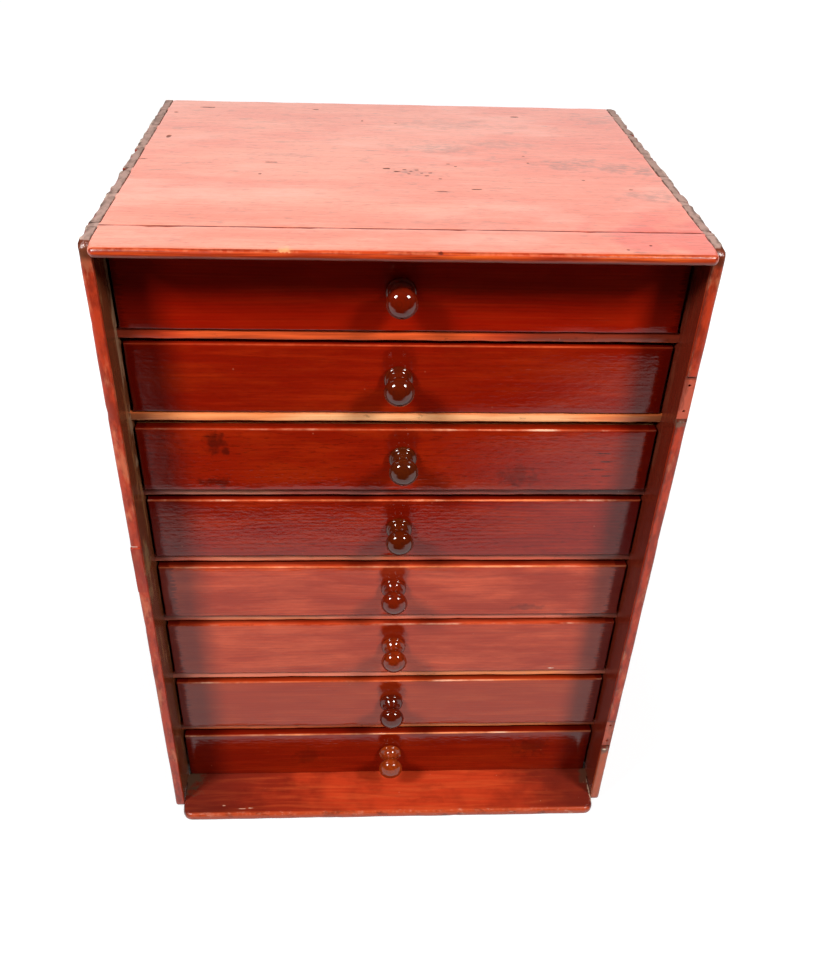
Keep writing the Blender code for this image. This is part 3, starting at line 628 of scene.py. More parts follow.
def worn_bottom():
    """The bottom board: dark stain rubbed orange in the middle, grime in the corners and a scuffed nose."""
    wood = Finish("worn_stained_pine_bottom")
    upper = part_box("bottom_board")[1].z
    figure = wood.figure(
        "bottom_board", "X", seed=2, pith=(0, 0.05, -0.05), lean=0.06, ring_width=0.005, warp=0.02)
    edge = wood.edge("bottom_board", reach=0.004, start=0.4, full=0.8)
    rubbed = wood.mark((0.035, FACE_Y - 0.02, upper), (0.16, 0.06, 0.02), 0.9, ragged=0.4, size=0.03)
    grime = wood.marks((
        ((-0.205, FACE_Y - 0.006, upper), (0.016, 0.022, 0.02), 0.9),
        ((0.205, FACE_Y - 0.006, upper), (0.008, 0.02, 0.02), 0.7)), ragged=0.6, size=0.006)
    scratches = wood.marks((
        ((-0.148, -0.176, upper), (0.005, 0.0006, MARK_DEPTH), 0.8),
        ((-0.139, -0.1755, upper), (0.0035, 0.0006, MARK_DEPTH), 0.7),
        ((-0.166, -0.172, upper), (0.002, 0.0008, MARK_DEPTH), 0.6)), ragged=0.3, size=0.003)
    nose = wood.zone(0.0025, y=(-FAR, CASE_FRONT - 0.0128))
    across = add_node(wood.tree, "ShaderNodeVectorMath", {0: wood.place}, operation="ABSOLUTE")
    ends = wood.zone(0.1, x=(0.15, FAR), place=across)
    corner = wood.mark((0.2055, -0.162, upper), (0.0012, 0.016, 0.006), 0.8, ragged=0.5, size=0.003)
    colour = wood.lay(
        linear("#8A2614"),
        ("#62160C", 0.6, figure["Cloud"]),
        ("#C23C1C", 1.0, rubbed),
        ("#D2582C", 0.35, figure["Streak"]),
        ("#661608", 0.2, figure["Latewood"]),
        ("#56120A", 0.4, wood.blotches((22, 45, 45), 0.5, 0.75)),
        ("#5A1E16", 0.7, ends),
        ("#4E3E2E", 0.9, grime),
        ("#E8B89A", 1.0, scratches),
        ("#D89474", 0.5, wood.pattern("specks", Spacing=0.008, Share=0.4)),
        ("#C04A22", 0.8, nose),
        ("#E4AE92", 0.4, nose, wood.blotches((90, 160, 160), 0.56, 0.7)),
        ("#4A1A10", 0.6, nose, wood.blotches((60, 120, 120), 0.52, 0.68)),
        ("#D88464", 0.5, edge, nose),
        ("#E8C8A8", 0.8, corner))
    wood.coat(colour, sheen=0.22, specular=0.35)
    wood.relief((figure["Fibre"], 0.00003), (wood.pattern("brush", Seed=2), 0.0001))
    return wood.material


def hinge_edge(wood, mottle):
    """Layers for the right side's front edge: two pale hinge recesses with painted shade at their steps,
    splinters below, and a rubbed foot.
    """
    layers = []
    for start, stop in HINGE_SPANS:
        recess = wood.zone(0.0008, y=(-FAR, EDGE_BACK), z=(start, stop))
        # Painted shade at the recess's two steps, stronger at the lower one.
        upper_step = wood.zone(0.001, y=(-FAR, EDGE_BACK), z=(stop - 0.003, stop + 0.001))
        lower_step = wood.zone(0.001, y=(-FAR, EDGE_BACK), z=(start - 0.001, start + 0.0015))
        layers += [
            ("#C2624A", 0.6, recess),
            ("#6A2A1C", 0.6, recess, mottle),
            ("#4A1A10", 0.4, upper_step),
            ("#3A140C", 0.8, lower_step),
        ]
    lower_hinge, upper_hinge = (start for start, stop in HINGE_SPANS)
    splinter = wood.marks((
        ((INNER_X + 0.004, CASE_FRONT, lower_hinge - 0.004), (0.006, 0.006, 0.006), 0.9),
        ((INNER_X + 0.002, CASE_FRONT, upper_hinge - 0.002), (0.006, 0.006, 0.004), 0.8)),
        ragged=0.6, size=0.003)
    fresh = wood.mark(
        (INNER_X + 0.003, CASE_FRONT, lower_hinge - 0.0025), (0.0025, 0.005, 0.0012), 1.0,
        ragged=0.3, size=0.002)
    foot = wood.zone(0.004, y=(-FAR, CASE_FRONT + 0.003), z=(-FAR, lower_hinge - 0.007))
    return layers + [("#C86A40", 0.5, foot), ("#6A5444", 0.9, splinter), ("#E8D4B4", 1.0, fresh)]


def slip_edge(wood, mottle, inside, front):
    """Layers for the left side's front edge: a glued slip with a painted highlight on its tip, bruised below,
    dusty beside it.
    """
    start, stop = SLIP_SPAN
    slip = wood.zone(0.0008, y=(-FAR, EDGE_BACK), z=(start, stop))
    below = wood.zone(0.003, y=(-FAR, CASE_FRONT + 0.004), z=(start - 0.012, start))
    # Painted highlight along the slip's proud upper end.
    tip = wood.zone(0.0006, x=(-FAR, -OUTER_X + 0.006), z=(stop - 0.0004, stop + 0.0004))
    beside = wood.marks((
        ((-INNER_X, CASE_FRONT + 0.012, 0.315), (0.004, 0.012, 0.02), 0.8),
        ((-INNER_X, CASE_FRONT + 0.008, 0.285), (0.004, 0.008, 0.012), 0.7)), ragged=0.6, size=0.006)
    return [
        ("#9A2A18", 0.6, slip),
        ("#7A6048", 0.8, below, mottle),
        ("#8E7A54", 0.6, beside, inside),
        ("#F4DCC8", 0.7, tip, front),
    ]


def stained_side(node, hand, look):
    """A case side: red stain outside and on the front edge, brown and grimy inside, grey end grain on top."""
    wood = Finish(f"stained_pine_{node}")

    def across(*limits):
        """Limits in x, given for the right side and mirrored on the left one."""
        return tuple(sorted(hand * limit for limit in limits))

    figure = wood.figure(
        node, "Z", seed=5 + hand, pith=(0, 0.03, -0.06), lean=0.04, ring_width=0.005, warp=0.02)
    edge = wood.edge(node, reach=0.003, start=0.3, full=0.7)
    inside = wood.zone(0.0008, x=across(-FAR, INNER_X + 0.0008))
    seam = wood.zone(0.0006, x=across(INNER_X - 0.0004, INNER_X + 0.0008))
    outer = wood.zone(0.005, x=across(OUTER_X - 0.003, FAR))
    chips = wood.zone(0.002, x=across(OUTER_X - 0.002, FAR))
    front = wood.zone(0.001, y=(-FAR, EDGE_BACK))
    shoulder = wood.zone(0.006, y=(-FAR, CASE_FRONT + 0.014), z=(CASE_TOP - 0.013, FAR))
    end = wood.zone(0.001, z=(CASE_TOP - 0.0011, FAR))
    bare = wood.zone(0.008, y=(FACE_Y + 0.016, FAR))
    rim = wood.zone(0.003, y=(FACE_Y - 0.008, FACE_Y + 0.001), z=(0.4, FAR))
    scuffs = wood.blotches((60, 120, 22), 0.52, 0.66)
    mottle = wood.blotches((120, 120, 40), 0.42, 0.6)
    grit = wood.blotches((160, 90, 120), 0.45, 0.6)
    colour = wood.lay(
        linear("#96260E"),
        ("#74180A", 0.5, figure["Cloud"]),
        ("#5C1208", 0.4, figure["Latewood"]),
        ("#B4401C", 0.2, figure["Fibre"]),
        (look["inside_tone"], 0.8, inside),
        (look["scuff_tone"], look["scuffs"], inside, scuffs),
        (look["rim_tone"], look["rim"], inside, rim, mottle),
        ("#B83A1C", 0.9, front),
        ("#742010", 0.65, front, mottle),
        ("#DC8058", 0.5, front, scuffs),
        ("#5A2418", 0.6, edge),
        ("#C08060", 0.5, edge, scuffs),
        *(hinge_edge(wood, mottle) if hand > 0 else slip_edge(wood, mottle, inside, front)),
        ("#B08350", 1.0, bare, inside),
        ("#4A3020", 0.75, shoulder),
        *end_grain(wood, end, grit, chips, ("#4A3A32", 0.9, end, grit, outer)),
        ("#4E3226", 0.8, end, seam, mottle))
    wood.coat(colour, sheen=0.25, dull=0.85, where=end, specular=0.35)
    wood.relief((figure["Fibre"], 0.00004), (mottle, 0.00008), (grit, 0.00006))
    return wood.material


def rubbed_rail_with_painted_light(number, look):
    """A divider's front edge, rubbed through its stain to orange pine and brightened with painted light
    against the shade of the drawer above, with painted shadow along its upper edge, dark at its ends, bare at
    its back.
    """
    node = f"divider_{number}"
    wood = Finish(f"rubbed_pine_rail_with_painted_light_{number}")
    low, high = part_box(node)
    figure = wood.figure(
        node, "X", seed=20 + number, pith=(0, 0.03, -0.04), lean=0.04, ring_width=0.004, warp=0.012)
    edge = wood.edge(node, reach=0.0025, start=0.3, full=0.7)
    lower = wood.zone(0.001, z=(-FAR, low.z + 0.0016))
    # Painted shadow of the drawer above, along the rail's upper edge.
    upper = wood.zone(0.002, z=(high.z - 0.002, FAR))
    bare = wood.zone(0.008, y=(low.y + 0.016, FAR))
    dirty = wood.zone(0.06, x=(look["dirty"], FAR))
    # Where the rail is brightest: rubbed, and also carrying a painted highlight.
    bright = wood.zone(0.04, x=look["bright"])
    left_end = wood.zone(0.02, x=(-FAR, -INNER_X + 0.015))
    colour = wood.lay(
        linear(look["tone"]),
        (look["bright_tone"], 0.85, bright),
        (look["dark"], 0.6, figure["Streak"]),
        (look["dark"], 0.3, figure["Fibre"]),
        ("#5A281C", 0.75, dirty),
        ("#5A2418", 0.75, left_end),
        ("#3A140C", 0.35, wood.blotches((90, 160, 160), 0.6, 0.7)),
        ("#F0C0A0", 0.8, dirty, wood.pattern("specks", Spacing=0.004, Share=0.5)),
        (look["dark"], 0.6, upper),
        (look["dark"], 0.5, edge),
        (look["bright_tone"], 0.6, edge, lower),
        ("#B98A55", 1.0, bare))
    wood.coat(colour, sheen=0.22, dull=0.6, where=bare, specular=0.4)
    wood.relief((figure["Fibre"], 0.00003), (wood.pattern("brush", Seed=number), 0.0001))
    return wood.material


def polished_knob(number, tone):
    """A turned knob, stained red-brown and thickly varnished, so that it mirrors the lamps."""
    wood = Finish(f"polished_turned_knob_{number}")
    figure = wood.figure(
        f"drawer_{number}_knob", "Y", seed=40 + number, pith=(0.004, 0, 0.003), lean=0.1, ring_width=0.0028,
        warp=0.004)
    colour = wood.lay(
        linear(tone),
        ("#3A0E06", 0.3, figure["Latewood"]),
        ("#30100A", 0.4, wood.blotches((220, 220, 220), 0.5, 0.7)))
    wood.coat(colour, sheen=0.05)
    wood.relief((figure["Fibre"], 0.000005), (wood.blotches((240, 240, 240), 0.1, 0.9), 0.00004))
    return wood.material


def bare_pine(name, node, grain, seed):
    """Unvarnished pine of linings and back: honey-coloured, dry, with clear rings and grime at the edges."""
    wood = Finish(name)
    figure = wood.figure(node, grain, seed, pith=(0, 0.04, -0.05), lean=0.05, ring_width=0.005, warp=0.02)
    edge = wood.edge(node, reach=0.003, start=0.0, full=1.0)
    colour = wood.lay(
        linear("#C79A62"),
        ("#B5854E", 0.5, figure["Cloud"]),
        ("#8E5A2C", 0.6, figure["Latewood"]),
        ("#A87843", 0.25, figure["Fibre"]),
        ("#6E4826", 0.35, edge))
    wood.coat(colour, sheen=0.6)
    wood.relief((figure["Fibre"], 0.00004), (figure["Latewood"], 0.00003))
    return wood.material


def iron_nail():
    """Old cut iron: dark brown-grey with a little rust, hammered dull."""
    iron = Finish("rusted_iron_nail")
    rust = iron.blotches((900, 900, 900), 0.3, 0.7)
    iron.coat(iron.lay(linear("#3A332E"), ("#5A3420", 0.8, rust)), sheen=0.55)
    iron.shader.inputs["Metallic"].default_value = 0.6
    iron.relief((rust, 0.0001))
    return iron.material


# Shapes

# Points of a node's loose triangles that lie closer than this are one point.
MERGE_DISTANCE = 0.000002

# Faces that turn by less than this are one flat face, and edges that turn by more than these are sharp in
# the solid, worn once eased, and still drawn sharp when worn.
FLAT_TURN = math.radians(0.5)
SHARP_TURN = math.radians(50)
WORN_TURN = math.radians(20)
DRAWN_TURN = math.radians(48)

# Shorter edges than this are left as they are.
SHORTEST_ARRIS = 0.0015

# Waves of slow wear and of small chips in a metre of edge, and how far the chipped end grain reaches in.
WEAR_WAVES = 35
CHIP_WAVES = 160
END_GRAIN = 0.003

# How finely a knob's ball, bead and neck are drawn, how far round its ball goes, in degrees from the tip
# to the neck, and how far the bead stands off the drawer.
BALL_STEPS = 24
BEAD_STEPS = 15
NECK_STEPS = 14
BALL_SWEEP = 138
BEAD_FIT = 0.0003

# The nails down each long edge of the back board: how many, and their distance from its ends and edges.
BACK_NAILS = 9
BACK_NAIL_END = 0.03
BACK_NAIL_EDGE = 0.0026

# The nails along a drawer's bottom: their places as shares of its width, and their distance from its back.
BOTTOM_NAIL_SHARES = (0.08, 0.36, 0.64, 0.92)
BOTTOM_NAIL_EDGE = 0.0035

# A nail's hollow is this much wider than its head. The head is narrower on top, leans a little and is
# turned any way round, in radians.
HOLLOW_SHARE = 1.25
HEAD_TOP_SHARE = 0.72
HEAD_LEAN = 0.08
HEAD_TURN = 6.28


def link_piece(name, mesh):
    """An object at the origin for a finished mesh."""
    piece = bpy.data.objects.new(name, mesh)
    bpy.context.scene.collection.objects.link(piece)
    return piece


def settle(piece, node):
    """Let a piece stand for its node and ride on the node's body."""
    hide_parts(node)
    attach(piece, BODY_OF[node])
    return piece


def merged_shape(node):
    """A copy of a CAD node's shape, whose loose triangles are joined."""
    shape = bmesh.new()
    shape.from_mesh(frame["nodes"][node].data)
    bmesh.ops.remove_doubles(shape, verts=shape.verts, dist=MERGE_DISTANCE)
    return shape


def finished_mesh(shape, name):
    """Turn a worked shape into a mesh, and let go of the shape."""
    mesh = bpy.data.meshes.new(name)
    shape.to_mesh(mesh)
    shape.free()
    return mesh


def kept_result(carrier, name):
    """What an object's modifiers make, kept as a plain mesh in a new object in place of the old one."""
    graph = bpy.context.evaluated_depsgraph_get()
    mesh = bpy.data.meshes.new_from_object(carrier.evaluated_get(graph), depsgraph=graph)
    bpy.data.objects.remove(carrier)
    mesh.name = name
    return link_piece(name, mesh)


def eased_shape(node, sizes):
    """A board's shape with its arrises eased, and cut across at even steps so that it can be worn."""
    shape = merged_shape(node)
    bmesh.ops.dissolve_limit(shape, angle_limit=FLAT_TURN, verts=shape.verts, edges=shape.edges)
    sharp = [edge for edge in shape.edges
             if edge.is_manifold and edge.calc_face_angle_signed() > SHARP_TURN
             and edge.calc_length() > SHORTEST_ARRIS]
    bmesh.ops.bevel(
        shape, geom=sharp, offset=sizes.arris, segments=2, profile=0.5, affect="EDGES", clamp_overlap=True)
    low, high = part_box(node)
    for axis in range(3):
        cuts = int((high[axis] - low[axis]) / sizes.pitch)
        across = Vector([float(axis == other) for other in range(3)])
        for cut in range(1, cuts + 1):
            point = low + across * (high[axis] - low[axis]) * cut / (cuts + 1)
            bmesh.ops.bisect_plane(
                shape, geom=shape.verts[:] + shape.edges[:] + shape.faces[:], plane_co=point, plane_no=across)
    shape.normal_update()
    return shape


def wear_depth(place, sizes, seed):
    """How deep an arris is worn: slowly along most of it, chipped in places, and deepest on the end grain."""
    slow = noise.noise(place * WEAR_WAVES + Vector((seed, 0, 0)))
    chip = noise.noise(place * CHIP_WAVES + Vector((0, seed, 0)))
    depth = sizes.rub * (max(slow + 0.3, 0.0) + 2.5 * max(chip - 0.35, 0.0))
    if place.z > CASE_TOP - END_GRAIN and abs(place.x) > OUTER_X - END_GRAIN:
        depth += sizes.end_chips * max(chip + 0.25, 0.0)
    return depth


def worn_copy(node, sizes, seed):
    """A board with its arrises eased and then rubbed unevenly along their length."""
    shape = eased_shape(node, sizes)
    moves = []
    for vertex in shape.verts:
        normals = [face.normal for face in vertex.link_faces]
        turn = max((first.angle(second, 0.0) for first in normals for second in normals), default=0.0)
        if turn > WORN_TURN:
            moves.append((vertex, vertex.normal * wear_depth(vertex.co, sizes, seed)))
    for vertex, move in moves:
        vertex.co -= move
    for face in shape.faces:
        face.smooth = True
    for edge in shape.edges:
        edge.smooth = not (edge.is_manifold and edge.calc_face_angle() > DRAWN_TURN)
    piece = link_piece(f"{node}_wood", finished_mesh(shape, f"{node}_wood"))
    weights = piece.modifiers.new("flat_faces", "WEIGHTED_NORMAL")
    weights.keep_sharp = True
    return piece


def grow(name, seed_mesh, tree, values):
    """Run a Geometry Nodes tree on a mesh and keep its result as a plain mesh."""
    carrier = link_piece(f"{name}_carrier", seed_mesh)
    modifier = carrier.modifiers.new(tree.name, "NODES")
    modifier.node_group = tree
    sockets = {item.name: item.identifier for item in tree.interface.items_tree if item.in_out == "INPUT"}
    for label, value in values.items():
        modifier[sockets[label]] = value
    return kept_result(carrier, name)


def turning_tree():
    """Turn a profile about the line that points out of the drawer, as a lathe does."""
    tree, given, result = new_tree("turned_work", "GeometryNodeTree", {
        "Profile": "Geometry", "Centre": "Vector", "Segments": "Int", "Finish": "Material"},
        {"Turning": "Geometry"})
    size = add_node(tree, "GeometryNodeAttributeDomainSize", {"Geometry": given["Profile"]}, component="MESH")
    count = size.outputs["Point Count"]
    columns = add_node(tree, "ShaderNodeMath", {0: given["Segments"], 1: 1.0}, operation="ADD")
    sheet = add_node(tree, "GeometryNodeMeshGrid", {"Vertices X": columns, "Vertices Y": count})
    # Each column of the sheet is the profile once more, turned a little further.
    index = add_node(tree, "GeometryNodeInputIndex")
    row = add_node(tree, "ShaderNodeMath", {0: index, 1: count}, operation="MODULO")
    share = add_node(tree, "ShaderNodeMath", {0: index, 1: count}, operation="DIVIDE")
    column = add_node(tree, "ShaderNodeMath", {0: share}, operation="FLOOR")
    turn = add_node(tree, "ShaderNodeMath", {0: column, 1: given["Segments"]}, operation="DIVIDE")
    angle = add_node(tree, "ShaderNodeMath", {0: turn, 1: math.tau}, operation="MULTIPLY")
    cosine = add_node(tree, "ShaderNodeMath", {0: angle}, operation="COSINE")
    sine = add_node(tree, "ShaderNodeMath", {0: angle}, operation="SINE")
    place = add_node(tree, "GeometryNodeInputPosition")
    point = add_node(tree, "GeometryNodeSampleIndex", {
        "Geometry": given["Profile"], "Value": place, "Index": row}, data_type="FLOAT_VECTOR")
    axes = add_node(tree, "ShaderNodeSeparateXYZ", {0: point})
    across = add_node(tree, "ShaderNodeMath", {0: axes.outputs["X"], 1: cosine}, operation="MULTIPLY")
    upward = add_node(tree, "ShaderNodeMath", {0: axes.outputs["X"], 1: sine}, operation="MULTIPLY")
    outward = add_node(tree, "ShaderNodeMath", {0: axes.outputs["Z"], 1: -1.0}, operation="MULTIPLY")
    turned = add_node(tree, "ShaderNodeCombineXYZ", {"X": across, "Y": outward, "Z": upward})
    placed = add_node(tree, "ShaderNodeVectorMath", {0: turned, 1: given["Centre"]}, operation="ADD")
    laid = add_node(tree, "GeometryNodeSetPosition", {"Geometry": sheet.outputs["Mesh"], "Position": placed})
    closed = add_node(tree, "GeometryNodeMergeByDistance", {"Geometry": laid, "Distance": 0.000005})
    smooth = add_node(tree, "GeometryNodeSetShadeSmooth", {"Geometry": closed})
    real = add_node(tree, "GeometryNodeRealizeInstances", {"Geometry": smooth})
    finished = add_node(tree, "GeometryNodeSetMaterial", {"Geometry": real, "Material": given["Finish"]})
    tree.links.new(finished.outputs[0], result.inputs["Turning"])
    return tree


def nail_tree():
    """A hammered nail head at each point, facing the way that the point's own attribute says."""
    tree, given, result = new_tree("nail_heads", "GeometryNodeTree", {
        "Places": "Geometry", "Head Radius": "Float", "Head Height": "Float", "Seed": "Int",
        "Finish": "Material"}, {"Nails": "Geometry"})
    rim = add_node(tree, "ShaderNodeMath", {0: given["Head Radius"], 1: HEAD_TOP_SHARE}, operation="MULTIPLY")
    head = add_node(tree, "GeometryNodeMeshCone", {
        "Vertices": 9, "Radius Top": rim, "Radius Bottom": given["Head Radius"],
        "Depth": given["Head Height"]})
    points = add_node(tree, "GeometryNodeMeshToPoints", {"Mesh": given["Places"]})
    facing = add_node(tree, "GeometryNodeInputNamedAttribute", {"Name": "facing"}, data_type="FLOAT_VECTOR")
    stand = add_node(tree, "FunctionNodeAlignRotationToVector", {"Vector": facing}, axis="Z")
    spin = add_node(tree, "FunctionNodeRandomValue", {
        0: (-HEAD_LEAN, -HEAD_LEAN, 0.0), 1: (HEAD_LEAN, HEAD_LEAN, HEAD_TURN), "Seed": given["Seed"]},
        data_type="FLOAT_VECTOR")
    twist = add_node(
        tree, "FunctionNodeRotateRotation", {"Rotation": stand, "Rotate By": spin}, rotation_space="LOCAL")
    nails = add_node(tree, "GeometryNodeInstanceOnPoints", {
        "Points": points, "Instance": head.outputs["Mesh"], "Rotation": twist})
    real = add_node(tree, "GeometryNodeRealizeInstances", {"Geometry": nails})
    finished = add_node(tree, "GeometryNodeSetMaterial", {"Geometry": real, "Material": given["Finish"]})
    tree.links.new(finished.outputs[0], result.inputs["Nails"])
    return tree


def back_nails():
    """Where the back board is nailed to the case, down each of its long edges."""
    low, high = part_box("back_board")
    length = high.z - low.z - 2 * BACK_NAIL_END
    heights = [low.z + BACK_NAIL_END + length * step / (BACK_NAILS - 1) for step in range(BACK_NAILS)]
    edges = (low.x + BACK_NAIL_EDGE, high.x - BACK_NAIL_EDGE)
    return [Vector((x, high.y, height)) for x in edges for height in heights]


def countersunk(node, places, radius, depth):
    """A board's shape with a shallow round hollow in its back at each of the places."""
    board = link_piece(f"{node}_blank", finished_mesh(merged_shape(node), f"{node}_merged"))
    shape = bmesh.new()
    for place in places:
        bmesh.ops.create_cone(
            shape, cap_ends=True, segments=16, radius1=radius, radius2=radius, depth=2 * depth,
            matrix=Matrix.Translation(place) @ Matrix.Rotation(math.radians(90), 4, "X"))
    punch = link_piece(f"{node}_punch", finished_mesh(shape, f"{node}_punches"))
    hollows = board.modifiers.new("hollows", "BOOLEAN")
    hollows.object = punch
    hollows.solver = "EXACT"
    piece = kept_result(board, f"{node}_wood")
    bpy.data.objects.remove(punch)
    return piece


def knob_profile(sizes):
    """Half of a knob's section, from the tip of its ball to the end of its tenon, closely spaced."""
    points = []
    for step in range(BALL_STEPS + 1):
        angle = math.radians(90 - BALL_SWEEP * step / BALL_STEPS)
        points.append((sizes.ball_radius * math.cos(angle),
                       sizes.ball_centre + sizes.ball_half_length * math.sin(angle)))
    points[0] = (0.0, points[0][1])
    bead = []
    bead_half = sizes.bead_thickness / 2
    for step in range(BEAD_STEPS + 1):
        angle = math.radians(90 - 180 * step / BEAD_STEPS)
        bead.append((sizes.bead_radius - bead_half + bead_half * math.cos(angle),
                     BEAD_FIT + bead_half + bead_half * math.sin(angle)))
    upper, lower = points[-1], bead[0]
    dip = (upper[0] + lower[0]) / 2 - sizes.neck_radius
    for step in range(1, NECK_STEPS):
        share = step / NECK_STEPS
        points.append((upper[0] + (lower[0] - upper[0]) * share - dip * math.sin(math.pi * share),
                       upper[1] + (lower[1] - upper[1]) * share))
    tenon = [(sizes.tenon_radius, BEAD_FIT), (sizes.tenon_radius, -FRONT_THICKNESS), (0.0, -FRONT_THICKNESS)]
    return points + bead + tenon


# Sizes and colours that a user may change

class CabinetSizes(bpy.types.PropertyGroup):
    """Sizes of the worn edges, the knobs and the nails."""
    arris: FloatProperty(
        name="Arris", description="How far each sharp edge is eased", default=0.0005, unit="LENGTH")
    rub: FloatProperty(
        name="Rub", description="How deep the edges are rubbed at most", default=0.0004, unit="LENGTH")
    end_chips: FloatProperty(
        name="End chips", description="How deep the end grain on top is chipped", default=0.0016,
        unit="LENGTH")
    pitch: FloatProperty(
        name="Pitch", description="Spacing of the points along a rubbed edge", default=0.006, unit="LENGTH")
    ball_radius: FloatProperty(
        name="Ball radius", description="Half the width of a knob's ball", default=0.0116, unit="LENGTH")
    ball_half_length: FloatProperty(
        name="Ball half length", description="Half the ball's length along the knob", default=0.0083,
        unit="LENGTH")
    ball_centre: FloatProperty(
        name="Ball centre", description="From the drawer's face to the ball's middle", default=0.0213,
        unit="LENGTH")
    neck_radius: FloatProperty(
        name="Neck radius", description="The knob at its thinnest", default=0.006, unit="LENGTH")
    bead_radius: FloatProperty(
        name="Bead radius", description="The bead against the drawer", default=0.0112, unit="LENGTH")
    bead_thickness: FloatProperty(
        name="Bead thickness", description="The bead along the knob", default=0.005, unit="LENGTH")
    tenon_radius: FloatProperty(
        name="Tenon radius", description="The tenon through the drawer front", default=0.005, unit="LENGTH")
    knob_segments: IntProperty(
        name="Knob segments", description="Facets round a knob", default=56, min=12)
    nail_radius: FloatProperty(
        name="Nail radius", description="Half the width of a nail head", default=0.0016, unit="LENGTH")
    nail_height: FloatProperty(
        name="Nail height", description="Thickness of a nail head", default=0.0005, unit="LENGTH")
    nail_sink: FloatProperty(
        name="Nail sink", description="How deep a nail is punched into the back", default=0.0007,
        unit="LENGTH")


class StudioLight(bpy.types.PropertyGroup):
    """The lamps, and the colour of floor and backdrop."""
    left_power: FloatProperty(
        name="Left lamp", description="Power of the lamp on the left", default=30.5, unit="POWER")
    right_power: FloatProperty(
        name="Right lamp", description="Power of the lamp on the right", default=33.5, unit="POWER")
    back_power: FloatProperty(
        name="Back lamp", description="Power of the wide soft box behind", default=13.0, unit="POWER")
    ambient: FloatProperty(
        name="Ambient", description="Strength of the light from all round", default=0.025)
    floor_colour: FloatVectorProperty(
        name="Floor", description="Colour of the floor", default=linear("#F2F2F2")[:3], subtype="COLOR")


# Pieces

# What a drawer front looks like where its own table below says nothing else. The tones are the stain in the
# early and late wood, in clouds, streaks and patches, and on the rubbed upper edge, which also carries a
# painted highlight. Most other values are how strong a layer is, among them the painted shade at the ends,
# the painted dark reflection of the knob on the front above it and the painted shadow of the rail behind the
# upper edge.
# Pith, lean, ring and warp draw the ring figure in metres, a reach in metres says how far a ragged strip of
# painted shade comes in from each end, gloss is a roughness and brush the depth of the brush marks. Dark and
# pale marks are x, z, half sizes and strength.
FRONT_BASE = {
    "early": "#A01C04", "late": "#520802", "cloud_tone": "#7E1203", "cloud": 0.4, "streak_tone": "#B42C0A",
    "streak": 0.3, "patch_tone": "#C8420E", "patch": 0.35, "lines": 0.15, "fibre": 0.15, "pores": 0.0,
    "ends": 0.5, "end_strip_reach": (0.008, 0.008), "pith": (0, 0.02, -0.22), "lean": 0.03, "ring": 0.0034,
    "warp": 0.01, "gloss": 0.08, "brush": 0.00016, "marks": (), "pale": (), "knob_reflection": 0.65,
    "rub_and_highlight_tone": "#F08A54", "rub": 0.7, "chips": 0.3, "lip_shadow": 0.7,
}
FRONT_LOOKS = {
    1: {"early": "#9A1402", "lines": 0.25, "ring": 0.0028, "patch_tone": "#B02606", "patch": 0.3,
        "end_strip_reach": (0.004, 0.004), "brush": 0.00006, "knob_reflection": 0.3, "rub_and_highlight_tone": "#B84420", "rub": 0.4,
        "chips": 0.0},
    2: {"early": "#881403", "pores": 0.15, "patch": 0.2, "ends": 0.65, "rub_and_highlight_tone": "#D85A30", "rub": 0.6,
        "chips": 0.0},
    3: {"early": "#921A04", "pores": 0.35, "patch": 0.25, "rub_and_highlight_tone": "#E07048", "rub": 0.6, "chips": 0.5,
        "marks": ((-0.144, 0.421, 0.01, 0.012, 0.6), (-0.137, 0.4135, 0.004, 0.005, 0.6),
                  (-0.146, 0.3835, 0.017, 0.006, 0.6), (0.098, 0.39, 0.02, 0.012, 0.4),
                  (0.164, 0.412, 0.008, 0.0009, 0.8), (0.168, 0.404, 0.006, 0.0008, 0.8),
                  (0.162, 0.3965, 0.007, 0.0009, 0.7), (0.17, 0.39, 0.005, 0.0008, 0.7))},
    4: {"early": "#921704", "lines": 0.5, "pith": (0, 0.03, -0.1), "ring": 0.0036, "warp": 0.016,
        "pores": 0.3, "patch_tone": "#C8401A", "patch": 0.34, "end_strip_reach": (0.008, 0.012),
        "rub_and_highlight_tone": "#FF8450", "rub": 0.9, "chips": 0.6, "lip_shadow": 0.9},
    5: {"early": "#B03212", "late": "#6C1404", "cloud_tone": "#9A260E", "streak_tone": "#D4542E",
        "streak": 0.35, "patch_tone": "#E45C36", "patch": 0.75, "lines": 0.25, "warp": 0.02, "ends": 0.45,
        "end_strip_reach": (0.011, 0.011), "marks": ((0.12, 0.242, 0.02, 0.004, 0.4),), "rub_and_highlight_tone": "#F0905C",
        "rub": 0.8, "lip_shadow": 0.9},
    6: {"early": "#B63614", "late": "#6E1606", "cloud_tone": "#A02A10", "streak_tone": "#D65830",
        "streak": 0.35, "patch_tone": "#E66038", "patch": 0.7, "lines": 0.2, "warp": 0.02, "ends": 0.6,
        "end_strip_reach": (0.008, 0.01), "pale": ((0.152, 0.1625, 0.003, 0.001, 0.9),), "rub_and_highlight_tone": "#C85A34",
        "rub": 0.4, "chips": 0.4, "lip_shadow": 0.9},
    7: {"early": "#AC3412", "late": "#6A1606", "cloud_tone": "#98260C", "streak_tone": "#C84E24",
        "patch_tone": "#CC5428", "ends": 0.6, "rub_and_highlight_tone": "#EE8050", "chips": 0.5, "lip_shadow": 0.85},
    8: {"early": "#841604", "patch": 0.2, "end_strip_reach": (0.004, 0.005), "knob_reflection": 0.4,
        "marks": ((0.146, 0.048, 0.024, 0.016, 0.4), (-0.082, 0.039, 0.018, 0.014, 0.3)),
        "rub_and_highlight_tone": "#F89460", "rub": 0.85, "chips": 0.6, "lip_shadow": 0.8},
}

